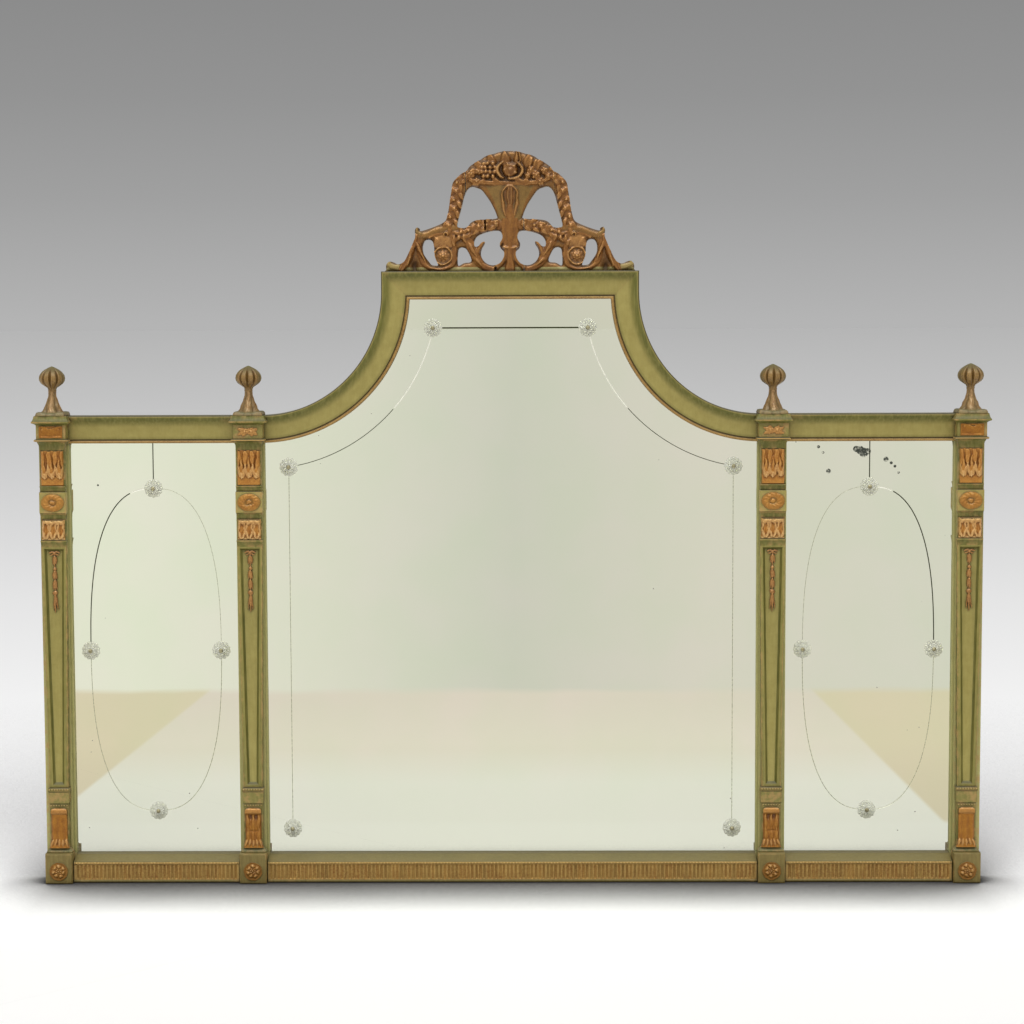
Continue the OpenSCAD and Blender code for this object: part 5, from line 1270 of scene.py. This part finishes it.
# Right half of the outline, from the middle out, and of the holes, in x and height over the rail
CREST_HEAD = [
    (0, 204.6), (15, 203.5), (27, 200), (41, 196), (50, 190), (61, 184), (69, 178), (75, 170.5),
    (84, 165.5), (92, 158), (98, 150), (100, 138), (102.5, 124), (104.5, 109), (107.5, 95), (112, 85),
    (128, 77), (145, 71), (154, 69), (155, 73), (160, 75), (163.5, 69.5), (162.5, 60), (167, 48), (174, 32),
    (182, 17.5), (192, 12.5), (201, 16), (208, 17), (213, 11), (213, 3), (209, 0), (120, -3), (60, -3),
    (0, -3)]
HOLES = [
    [(23, 90), (43, 88.5), (58, 87), (67, 83), (73.5, 75.5), (83, 74), (90, 76.5), (88.5, 87), (85, 100),
     (81.5, 113), (78, 127), (73, 138), (66, 143.5), (58, 142.5), (48, 138), (40, 128), (32, 116),
     (26, 104), (23, 96)],
    [(13, 60), (16, 67), (24, 69), (41, 66), (55, 60), (61, 51), (60.5, 42.5), (54.5, 43), (49, 49),
     (43.5, 50.5), (43.5, 46), (48, 38.5), (50, 30), (48, 22), (43, 15.5), (35, 11), (26, 10.5), (17, 14.5),
     (11, 24), (10.5, 33), (16, 39), (17.5, 47), (14, 54)],
    [(66.5, 20), (70, 29), (75.5, 38), (82.5, 40.5), (88, 37.5), (89.5, 27), (90, 18), (88.5, 9.5),
     (79, 14), (68.5, 15.5)],
    [(130.5, 42), (133, 51), (139, 54), (146, 52), (149.5, 43), (149, 32), (145, 24), (139, 16),
     (134.5, 11), (124.5, 10), (125, 14.5), (129.5, 26)]]


class CrestCarving(Carving):
    """Strokes of the crest, all carved into its blank."""

    def __init__(self):
        super().__init__(-215, 215, 0, 206, 0.72)
        outline = CREST_HEAD + [(-x, z) for x, z in CREST_HEAD[-2:0:-1]]
        self.blank(outline, [[(s * x, z) for x, z in h] for h in HOLES for s in (1, -1)], 13.5, 6.5, 7.0)
        foot = self.z < 7
        self.gilt, self.tone = np.where(foot, 0.05, 0.9), np.where(foot, 1.0, 0.0)
        self.side, self.random = 1, None

    def start(self, side, seed):
        self.side, self.random = side, np.random.default_rng(seed)
        self.unsteady(seed, 0.4, 26)

    def reed(self, points, base, rise, **more):
        """A rounded stalk, drawn on the right and turned over for the left."""
        self.stalk([(self.side * x, z, r) for x, z, r in points], base, rise, **more)

    def frond(self, x, z, angle, length, width, base, rise, jitter=1.0, **more):
        """A leaf with a hand's unevenness, drawn on the right and turned over for the left."""
        x, z = x + self.random.normal(0, 0.5) * jitter, z + self.random.normal(0, 0.5) * jitter
        angle += self.random.normal(0, 4) * jitter
        if self.side < 0:
            x, angle = -x, 180 - angle
        self.leaf(x, z, angle, length * self.random.uniform(0.93, 1.07), width, base, rise,
                  **{"midrib": 0.9, **more})

    def bead(self, x, z, radius, base, rise, gilt=1.0):
        self.ball(self.side * x, z, radius, base, rise, gilt)

    def flower(self, x, z, radius, petals, base, rise, **more):
        self.bloom(self.side * x, z, radius, petals, base, rise,
                   turn=self.random.uniform(0, 3), **{"eye": 0.3, **more})

    def garland(self, points, girth, spacing, length, width):
        """A rope of leaves that overlap like scales, with buds and blossoms among them."""
        path = smooth_path(points, 10)
        self.reed([(x, z, girth) for x, z in path], 15.0, 7.0)
        run = np.concatenate([[0], np.cumsum(np.hypot(*np.diff(path, axis=0).T))])
        for k, at in enumerate(np.arange(spacing * 0.3, run[-1], spacing)):
            x, z = (np.interp(at, run, path[:, i]) for i in (0, 1))
            ahead = [np.interp(at + 2, run, path[:, i]) for i in (0, 1)]
            heading = math.degrees(math.atan2(ahead[1] - z, ahead[0] - x)) if at + 2 < run[-1] else heading
            turn = (-1) ** k
            off = math.radians(heading + 90 * turn)
            self.frond(x + 0.36 * girth * math.cos(off), z + 0.36 * girth * math.sin(off),
                       heading + turn * self.random.uniform(10, 32), length, width, 18.2 + 1.2 * (k % 2),
                       6.2, midrib=1.1, curl=2.6, tip=0.6)
            if k % 4 == 1:
                self.flower(x, z, girth * 0.52, 5, 22.0, 4.6)
            elif k % 4 == 3:
                self.bead(x - 0.3 * girth * turn, z, girth * 0.3, 22.0, 4.4)


def carve_wing(c):
    """Scrollwork with a round flower, a leafy swag and the festoon that falls from the head."""
    # Broad scroll with its horn, and the stem that wraps under the round flower
    c.reed([(86, 70, 9), (77, 59, 10), (69, 47, 9.5), (63, 34, 9), (57, 21, 8.5), (47, 9, 7.5), (28, 2, 6)],
           15.5, 9, flutes=(1, 2.0))
    c.reed([(60, 22, 6), (55, 35, 4.6), (49, 45, 3.6), (44.5, 50, 1.8)], 17, 6.5)
    c.frond(72, 50, 236, 34, 9, 21.5, 4.5, midrib=0.4)
    c.frond(62, 24, 222, 26, 8, 21, 4.5, midrib=0.4)
    c.reed([(101, 62, 6), (96, 44, 5.5), (95, 28, 5.2), (97.5, 13, 5), (106, 6, 4.2), (122, 3.5, 3.4),
            (137, 6, 3), (147, 13, 4)], 17, 6.5, flutes=(1, 0.9))
    # Top bar and its curled tip
    c.reed([(92, 74, 9), (113, 72, 9), (131, 67, 8), (150, 61, 7), (161, 60, 5.5)], 15, 8, gilt=0.85)
    c.reed([(96, 66, 3), (118, 64, 3.5), (138, 58, 3)], 18.5, 4.5)
    c.reed([(153, 64, 4), (159, 67, 3.6), (160, 72.5, 2.4)], 18, 6, gilt=0.7)
    # Corner leaf in two lobes with a hollow between that is darkened with dirt and painted shade, the inner
    # stem and the curl on the rail
    c.reed([(160, 56, 5), (156, 42, 6), (153, 27, 7), (147, 13, 6), (137, 5, 4)], 15.5, 8.5,
           flutes=(1, 2.2))
    c.reed([(161, 61, 5), (167, 46, 8.5), (174, 29, 10), (181, 13, 8.5), (187, 3, 6)], 16.5, 9.5,
           flutes=(2, 2.2))
    c.frond(163, 54, 246, 42, 8, 22, 4.5, midrib=0.5, jitter=0.4)
    c.frond(168, 44, 284, 38, 8, 23, 4.5, midrib=0.5, jitter=0.4)
    c.sink(c.side * 164, 4, 6.5, 15, 8)
    c.reed([(182, 8, 7), (193, 7, 6.5), (203, 9, 6), (209, 12.5, 4.2), (206, 15.5, 2.4)], 15.5, 8,
           flutes=(1, 1.4), gilt=(0.35, 0.6))
    for x, tilt in ((34, 12), (62, 164), (84, 16), (112, 168), (134, 14), (150, 160)):
        c.frond(x, 2.5, tilt, 24, 8, 15.5, 4.0, gilt=(0.3, 0.7))
    # Garlands
    c.garland([(66, 163), (80, 158), (89, 148), (91.5, 132), (93.5, 114), (97, 99), (101, 85), (107, 74)],
              10.8, 7.6, 17, 11.5)
    c.garland([(14, 80), (28, 79), (42, 78), (56, 75), (68, 69), (80, 64)], 10.5, 7.6, 16, 11.5)
    for angle in (20, 78, 135, 195, 250, 312):
        c.frond(82, 62, angle, 16, 11, 20, 6.4, midrib=1.2, curl=1.6)
    for x, z in ((84, 66), (79, 59), (87, 58)):
        c.bead(x, z, 3.6, 23.5, 4)
    c.frond(97, 46, 100, 18, 10, 20.5, 5.5)
    c.frond(96, 42, 66, 16, 9, 21.5, 5)
    # Round flower in its cup, under a smooth hood of leaves
    c.reed([(103, 45, 6), (107, 52, 9), (115, 55, 11), (122, 52, 9), (127, 45, 6)], 18.0, 5.6,
           gilt=(1.0, 0.3))
    for angle, width in ((52, 11), (128, 11), (90, 13)):
        c.frond(114.8, 41, angle, 23, width, 20.5, 4.2, midrib=0.5, jitter=0.5, gilt=(1.0, 0.35))
    c.reed([(106, 62, 1.6), (109, 66, 1.8), (113, 64, 1.6), (112, 60.5, 1.2)], 24, 3)
    x, z = 114.8, 26.5
    c.bead(x, z, 17.0, 15.5, 6.5, 0.8)
    away = np.hypot(c.x - c.side * x, c.z - z)
    c.height = np.where(away < 13.4, np.minimum(c.height, 19.4), c.height)
    c.reed([(x + 14.8 * math.cos(a), z + 14.8 * math.sin(a), 1.9) for a in np.linspace(0, 6.3, 20)],
           20.5, 3.4, gilt=(1.0, 0.3))
    c.flower(x, z, 13.0, 8, 18.8, 7.0, rows=2, eye=0.26, gilt=(1.0, 0.3))


def carve_basket(c):
    """The bell vase, heaped with fruit and flowers."""
    # Body of the bell, hollowed under the rim, and the three stalks down to its foot
    z = c.true_z
    half = np.interp(z, (80, 90, 105, 120, 135, 149), (13, 20, 22, 27, 35, 43))
    round_body = 15 + 9.5 * np.sqrt(dome(c.true_x, 0, half))
    within = (z > 86) & (z < 149) & (np.abs(c.true_x) < half)
    c.height = np.where(within, np.maximum(c.height, round_body), c.height)
    c.gilt = np.where(within, 0.68, c.gilt)
    for c.side in (-1, 1):
        c.reed([(9, 88, 5.5), (10, 68, 5.5), (8, 52, 5), (7, 36, 4.5), (11, 19, 5), (24, 6, 5.5)], 17, 8,
               flutes=(1, 1.2))
        c.frond(8, 60, 298, 22, 12, 17.5, 7.5)
        c.frond(5, 34, 300, 28, 10, 19, 6)
        c.reed([(13, 122, 1.8), (12, 115, 3.2), (10, 106, 3.0), (8, 95, 2.0)], 23.0, 4.2)
    c.side = 1
    c.reed([(0, 111, 7), (0, 98, 10), (0, 78, 9.5), (0, 60, 8)], 18.5, 8.5)
    c.reed([(0, 64, 7), (0, 40, 5), (0, 22, 6), (0, 4, 9)], 19.5, 8, flutes=(1, 1.5))
    c.sink(0, 131, 17, 19, 3.0)
    c.reed([(0, 119, 7.5), (0, 126, 9.5), (0, 134, 9.5), (0, 139, 6.5)], 22.0, 5.0, flutes=(3, 2.4),
           flat=0.35)
    c.reed([(-11, 116, 1.5), (-13, 126, 1.7), (-12, 136, 1.7), (-6, 143.5, 1.6), (0, 145.5, 1.6),
            (6, 143.5, 1.6), (12, 136, 1.7), (13, 126, 1.7), (11, 116, 1.5)], 24.0, 3.0)
    c.frond(0, 101, 270, 30, 12, 24.0, 4.6, jitter=0.3, midrib=0.6)
    c.reed([(-11, 41, 2.2), (0, 39, 3), (11, 41, 2.2)], 23, 3.6)
    # Flat rim of the vase with two fillets
    c.reed([(-46, 150.5, 4.6), (0, 149.5, 5), (46, 150.5, 4.6)], 20.5, 5.0, flutes=(2, 0.9))
    # Broad smooth leaves drooping over the head
    for x, foot, angle, length, width, base in ((-60, 158, 140, 26, 20, 17), (58, 160, 42, 26, 20, 17),
                                                (-44, 168, 124, 30, 22, 19), (42, 170, 58, 30, 22, 19),
                                                (-27, 176, 108, 29, 22, 18.4), (27, 176, 74, 29, 22, 18.4),
                                                (-6, 176, 94, 31, 22, 20.6), (12, 177, 84, 29, 17, 19.4)):
        c.frond(x, foot, angle, length, width, base, 6.2, midrib=0.5, jitter=0.3, gilt=(0.97, 0.0))
    for x, foot, angle in ((38, 195, 258), (46, 192, 250), (54, 187, 244), (-55, 184, 292)):
        c.frond(x, foot, angle, 22, 8.5, 21.5, 5.0, jitter=0.5)
    # Leaves, berries on the left, blossoms on the right
    for x, foot, angle in ((-70, 158, 330), (-62, 176, 250), (-40, 156, 200), (-30, 158, 330),
                           (33, 158, 215), (24, 157, 330), (60, 170, 300), (70, 160, 215), (-50, 150, 200),
                           (66, 172, 20)):
        c.frond(x, foot, angle, 17, 11, 20.5, 5.8, curl=1.2)
    for row, many in enumerate((3, 4, 4, 3)):
        for i in range(many):
            c.bead(-37 + (i - (many - 1) / 2) * 7.6 + c.random.normal(0, 0.6),
                   183 - row * 7.3 + c.random.normal(0, 0.6), 4.2, 22.5, 6.0)
    for x, up, r, petals in ((-66, 165, 8.5, 5), (-56, 152.5, 7.5, 6), (-54, 170, 6.5, 5),
                             (36, 172, 7.5, 5), (45, 163, 8.5, 6), (52, 153.5, 8.5, 7), (59, 171, 7.5, 5),
                             (31, 163, 6.5, 5), (66, 160, 7, 5)):
        c.flower(x, up, r, petals, 22.0, 6.4)
    # The great rose between two crescent leaves
    x, z = 0.7, 172.5
    c.sink(x, z, 20, 18, 2.5)
    c.reed([(-12, 185, 1.6), (-19, 179, 3.0), (-21.5, 171, 3.4), (-17, 162, 2.6), (-11, 158, 1.6)], 22.5,
           6.0, gilt=(1.0, 0.35))
    c.reed([(14, 184, 1.5), (20.5, 177, 2.8), (21, 169, 3.0), (16, 161, 2.6), (5, 157.5, 2.4),
            (-2, 158, 1.5)], 22.5, 6.0, gilt=(1.0, 0.35))
    c.frond(6, 158.5, 350, 24, 8, 22.5, 5.0)
    c.rose(x, z, 13.0, 21.5, 8.0)
    for k in range(5):
        a = 0.5 + k * 1.257
        c.frond(x + 5 * math.cos(a), z + 5 * math.sin(a), math.degrees(a) + 25, 9, 8.5, 24, 4.6, midrib=0.3,
                jitter=0.6)
    c.bead(x, z, 2.6, 27, 3.2)


def crest_piece(name, whole, keep, top):
    """One block of the crest: its share of the carving, up to a hairline joint."""
    c = copy.copy(whole)
    c.height = np.minimum(whole.height, top)
    c.inside = np.minimum(whole.inside, keep)
    made = c.into(Form(), BACK, RIM, edge_gilt=0.3)
    for points in made.points:
        points[:, 2] += CREST_TOP
    piece(name, made, carved_gilt, name.replace("_carved", ""))


crest = CrestCarving()
for side, seed in ((-1, 101), (1, 102)):
    crest.start(side, seed)
    carve_wing(crest)
crest.start(1, 103)
carve_basket(crest)
crest.cut([(14, 203), (15, 196), (15.5, 186)], 6, 0.9)
crest.cut([(-42, 90), (-43, 83), (-41.5, 77), (-42, 70)], 12, 0.8)
crest.cut([(-25, 6), (-24.4, 3), (-25.2, 0)], 10, 1.3)
crest.wear(np.random.default_rng(7), 3.0, 1.7, dirt_and_shade=0.9, soften=2)
across = np.abs(crest.true_x)
wing = np.minimum(across - BLOCK_LOW, np.maximum(across - BLOCK_HIGH, BLOCK_STEP - crest.true_z))
for word, side in SIDES:
    crest_piece("crest_scroll_carved" + word, crest,
                np.where(side * crest.true_x > 0, wing - JOINT, -9.0), 29.3)
crest_piece("crest_basket_carved", crest, -wing - JOINT, 31.3)


# ------------------------------------------------------------------- plates
def grooved(made, lines, half_w, depth, cutter_material):
    """Cuts V grooves along lines of (x, z) into a plate by an exact boolean."""
    groove = Form()
    for line in lines:
        line = np.asarray(line, float)
        heading = np.gradient(line, axis=0)
        heading /= np.linalg.norm(heading, axis=1)[:, None]
        reach = np.column_stack([-heading[:, 1], heading[:, 0]]) * half_w * 1.5
        lip = GLASS_OUT + depth / 2
        skin(groove, [[(p[0] - r[0], lip, p[1] - r[1]), (p[0], GLASS_OUT - depth, p[1]),
                       (p[0] + r[0], lip, p[1] + r[1])] for p, r in zip(line, reach)])
    cutter = linked("cutter", groove.mesh("cutter"))
    cutter.data.materials.append(cutter_material)
    cut = made.modifiers.new("groove", "BOOLEAN")
    cut.operation, cut.solver, cut.object, cut.material_mode = "DIFFERENCE", "EXACT", cutter, "TRANSFER"
    bpy.context.view_layer.update()
    graph = bpy.context.evaluated_depsgraph_get()
    result = bpy.data.meshes.new_from_object(made.evaluated_get(graph), depsgraph=graph)
    made.modifiers.clear()
    made.data = result
    bpy.data.objects.remove(cutter)


def plate_outline(side):
    low_z = SIGHT_FOOT - GLASS_HIDDEN
    if side:
        return rectangle(SIDE_HALF + GLASS_HIDDEN, low_z, SIGHT_SIDE + GLASS_HIDDEN, side * SIDE_MID)
    half, radius = CENTRE_HALF + GLASS_HIDDEN, SIGHT_COVE_R - GLASS_HIDDEN
    low = 3 * math.pi / 2 + math.asin((half - COVE_X) / radius)
    high = math.pi + math.asin((COVE_Z - SIGHT_CREST - GLASS_HIDDEN) / radius)
    right = [(COVE_X + radius * math.cos(a), COVE_Z + radius * math.sin(a))
             for a in np.linspace(low, high, 49)]
    return [(-half, low_z), (half, low_z)] + right + [(-x, z) for x, z in right[::-1]]


def clear_of(line, spots):
    """An evenly stepped line without what lies under rosettes, as the runs that remain."""
    line = np.asarray(line, float)
    run = np.concatenate([[0], np.cumsum(np.hypot(*np.diff(line, axis=0).T))])
    at = np.linspace(0, run[-1], max(3, int(run[-1] / 3)))
    line = np.column_stack([np.interp(at, run, line[:, 0]), np.interp(at, run, line[:, 1])])
    free = np.min([np.hypot(line[:, 0] - x, line[:, 1] - z) for x, z in spots], axis=0) > SPOT_CLEAR
    edges = np.flatnonzero(np.diff(np.concatenate([[0], free.astype(int), [0]])))
    return [line[a:b] for a, b in zip(edges[::2], edges[1::2]) if b - a > 2]


def parted(runs, share):
    """The first share of each run and the rest, with a hair's breadth between."""
    cuts = [max(3, int(len(r) * share)) for r in runs]
    return [r[:c] for r, c in zip(runs, cuts)], [r[c:] for r, c in zip(runs, cuts) if len(r) - c > 2]


def bearing(spot):
    """Angle of a place in the centre plate, seen from the middle of the right cove."""
    return math.atan2(spot[1] - COVE_Z, spot[0] - COVE_X) % (2 * math.pi)


def plate(word, side):
    """A plate with its engraving, painted white as highlight where it turns to the light and dark as shade
    elsewhere.
    """
    made = Form()
    outline = plate_outline(side)
    skin(made, [[(x, out, z) for x, z in outline] for out in (GLASS_BACK, GLASS_OUT)])
    body = piece("plate_engraved" + word, made, mirror_plate, "mirror" + word, angle=20)
    if side:
        spots, mid = side_spots(side), side * SIDE_MID
        turn = np.linspace(math.pi / 2, 0, 121)
        wide = OVAL_HALF_W * np.abs(np.cos(turn)) ** (2 / OVAL_POWER)
        tall = (OVAL_HEAD - OVAL_FOOT) / 2 * np.abs(np.sin(turn)) ** (2 / OVAL_POWER)

        def quarter(sx, sz):
            return clear_of(np.column_stack([mid + sx * wide, OVAL_MID + sz * tall]), spots)

        white, dark = parted(quarter(side, 1), 0.09)
        grooved(body, dark + clear_of([(mid, OVAL_HEAD), (mid, SIGHT_SIDE + 3)], spots), 0.9, 0.9, cut_dark)
        grooved(body, white, 1.0, 0.8, cut_white)
        grooved(body, quarter(side, -1) + quarter(-side, -1), 0.5, 0.5, cut_light)
        grooved(body, quarter(-side, 1), 0.35, 0.35, cut_light)
    else:
        dark, white, faint = [], [], []
        turn = np.linspace(bearing(TOP_SPOT), bearing(HIGH_SPOT), 121)
        for s in (-1, 1):
            border = np.column_stack([s * (COVE_X + BORDER_R * np.cos(turn)),
                                      COVE_Z + BORDER_R * np.sin(turn)])
            near, far = parted(clear_of(border, CENTRE_SPOTS), 0.42)
            white, dark = white + near, dark + far
            faint += clear_of([(s * x, z) for x, z in (LOW_SPOT, HIGH_SPOT)], CENTRE_SPOTS)
        x, z = TOP_SPOT
        grooved(body, dark, 0.6, 0.6, cut_dark)
        grooved(body, white, 0.95, 0.8, cut_white)
        grooved(body, faint, 0.5, 0.5, cut_light)
        grooved(body, clear_of([(-x, z), (x, z)], CENTRE_SPOTS), 1.25, 1.1, cut_dark)
    body.data.shade_flat()


for word, side in (("_left", -1), ("_centre", 0), ("_right", 1)):
    plate(word, side)


def cut_rosette(made, x, z, turn, random):
    """A flower cut from glass: a scalloped rim of fine uneven rays, and an inner row of petals."""
    for radius, low, high, petals, depth in ((16.2, 14.05, 17.0, 12, 0.1), (10.6, 16.6, 19.7, 8, 0.22)):
        sides = petals * 8
        angles = np.linspace(0, 2 * math.pi, sides, endpoint=False) + turn
        lobe = np.abs(np.cos(petals * (angles - turn) / 2))
        edge = radius * (1 - depth + depth * lobe ** 0.7) + random.uniform(-0.2, 0.2, sides)
        ray = np.where(np.arange(sides) % 4 < 2, 0.55, -0.15) + random.uniform(-0.2, 0.2, sides)
        skin(made, [level_ring(x, z, r, out, angles) for r, out in (
            (2.6, low), (edge, low), (edge, low + 0.6), (edge * 0.88, low + 1.4 + 0.6 * ray),
            (edge * 0.62, high - 1.0 + ray), (radius * 0.3, high), (2.6, high))], loop=True)


# Levels of a screw in the eye of a rosette: radius and out
SCREW = [(2.0, 6.0), (2.0, 19.8), (3.6, 19.9), (3.6, 20.6), (3.2, 21.4), (2.3, 22.1), (1.0, 22.4)]
rosettes, screws = Form(), Form()
for k, (x, z) in enumerate(side_spots(-1) + CENTRE_SPOTS + side_spots(1)):
    cut_rosette(rosettes, x, z, 0.13 * k, np.random.default_rng(200 + k))
    angles = np.linspace(0, 2 * math.pi, 24, endpoint=False)
    skin(screws, [level_ring(x, z, r, out, angles) for r, out in SCREW])
piece("rosettes_cut_glass", rosettes, crystal, "glass_rosettes", angle=18)
piece("rosette_screws_domed", screws, screw_metal, "rosette_screws")

# ------------------------------------------------------- carried CAD nodes
CARRIED = {"stile_": stile_paint, "backboard_brads": old_steel, "backboard_": backboard,
           "hanger_strap_": aged_brass, "hanger_ring_": old_steel, "hanger_screws": old_steel}
for name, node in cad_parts.items():
    if node.hide_render:
        continue
    chosen = next(m for start, m in CARRIED.items() if name.startswith(start))
    node.data.materials.clear()
    node.data.materials.append(chosen)


# -------------------------------------------------------------------- stage
# The room in front of the object, left to right, as the plates show it, and its span as a slope
ROOM = [(0.0, 253, 255, 253), (0.25, 244), (0.5, 227, 228, 229), (0.75, 238, 235, 236), (1.0, 236)]
ROOM_SPAN = (-0.18, 0.16)


def floor_material():
    """White sweep that greys with distance behind the object; in front of it, which only the
    plates show, a white strip between beige boards and a paler room beyond."""
    made, n = material("floor")
    place = n.add("NewGeometry").outputs["Position"]
    x, y, _ = n.add("SeparateXYZ", {0: place}).outputs
    reach = n.over(3.0, n.most(n.plus(y, 3.9), 0.05))
    behind = n.ramp(reach, [(0.0, 179), (0.106, 193), (0.242, 211), (0.378, 228), (0.515, 241), (0.63, 249),
                            (0.73, 255)])
    strip_left = n.span(n.plus(x, n.times(y, 0.059)), -0.95, -0.94)
    strip_right = n.span(n.plus(x, n.times(y, -0.04)), 0.849, 0.859, 1.0, 0.0)
    strip = n.ramp(n.span(y, 0.0, -2.0), [(0.0, 255), (0.4, 252, 251, 250), (0.59, 246, 238, 234),
                                          (0.93, 242, 232, 229)])
    near = n.mix(n.times(strip_left, strip_right), srgb(238, 227, 208), strip)
    slope = n.over(n.less(x, 0.0432), n.less(3.93, y))
    far = n.mix(1.0, n.ramp(n.span(slope, *ROOM_SPAN), ROOM), srgb(253, 251, 248), "MULTIPLY")
    ragged = n.plus(y, n.times(n.noise(4, 2, 0.5, place), 0.12))
    front = n.mix(n.span(ragged, -1.9, -2.0), near, far)
    colour = n.mix(n.span(y, -0.45, -0.40), front, behind)
    past = n.most(y, 0.0)
    depth = n.plus(n.times(past, n.plus(n.times(past, 1.6), 1.0)),
                   n.span(n.math("ABSOLUTE", x), 0.80, 0.92, 0.26, 0.09))
    depth = n.math("MINIMUM", depth, 2.0)
    close = n.span(n.add("AmbientOcclusion", {"Distance": depth}, samples=8).outputs["AO"], 0.5, 1.0)
    shade = n.span(n.times(close, close), 0.0, 1.0, 0.06, 1.0)
    n.surface({"Base Color": n.mix(shade, (0, 0, 0, 1), colour),
               "Roughness": n.span(n.noise(3, 2, 0.5, place), 0, 1, 0.85, 0.95), "Specular IOR Level": 0.0})
    return made


FLOOR_HALF = 300
mesh = bpy.data.meshes.new("floor")
mesh.from_pydata([(x, y, 0) for x, y in rectangle(FLOOR_HALF, -FLOOR_HALF, FLOOR_HALF)], [], [(0, 1, 2, 3)])
floor = linked("floor", mesh)
mesh.materials.append(floor_material())

world = bpy.data.worlds.new("studio")
bpy.context.scene.world = world
world.use_nodes = True
n = Nodes(world.node_tree)
world.node_tree.nodes.clear()
across, forward, up = n.add("SeparateXYZ", {0: n.add("TexCoord").outputs["Generated"]}).outputs
sky = n.ramp(n.times(up, 4.0), [(0.0, 180), (0.055, 175), (0.215, 160), (0.39, 147), (0.54, 140),
                                (1.0, 128)])
slope = n.over(across, n.most(n.times(forward, -1.0), 0.05))
room = n.mix(1.0, n.ramp(n.span(slope, *ROOM_SPAN), ROOM), srgb(251, 248, 243), "MULTIPLY")
seen = n.mix(n.span(forward, -0.1, 0.1), room, sky)
path = n.add("LightPath").outputs
shown = n.most(path["Is Camera Ray"], n.most(path["Is Glossy Ray"], path["Is Transmission Ray"]))
colour = n.mix(shown, (0.42, 0.42, 0.42, 1), seen)
background = n.add("Background", {"Color": colour, "Strength": 1.0})
n.add("OutputWorld", {"Surface": background.outputs[0]})


def sun(name, strength, angle, azimuth, elevation):
    """A soft lamp that comes from an azimuth, 0 in front and 90 on the right."""
    light = bpy.data.lights.new(name, "SUN")
    light.energy, light.angle = strength, math.radians(angle)
    lamp = linked(name, light)
    a, e = math.radians(azimuth), math.radians(elevation)
    source = Vector((math.sin(a) * math.cos(e), -math.cos(a) * math.cos(e), math.sin(e)))
    lamp.rotation_euler = source.to_track_quat("Z", "Y").to_euler()


sun("key", 1.22, 36, -27, 57)
sun("fill", 0.99, 44, 30, 57)

# ------------------------------------------------------------------- camera
PHOTO_SIDE, FOCAL_PIXELS = 1024, 2264.6
data = bpy.data.cameras.new("camera")
data.sensor_width = 36.0
data.lens = FOCAL_PIXELS / PHOTO_SIDE * data.sensor_width
data.clip_end = 1000.0
camera = linked("camera", data)
heading, tilt, roll = (Matrix.Rotation(math.radians(degrees), 4, axis)
                       for degrees, axis in ((0.606, "Z"), (90 - 4.797, "X"), (-0.211, "Z")))
camera.matrix_world = Matrix.Translation((0.0432, -3.9, 0.9739)) @ heading @ tilt @ roll
bpy.context.scene.camera = camera
bpy.context.scene.view_settings.view_transform = "Standard"
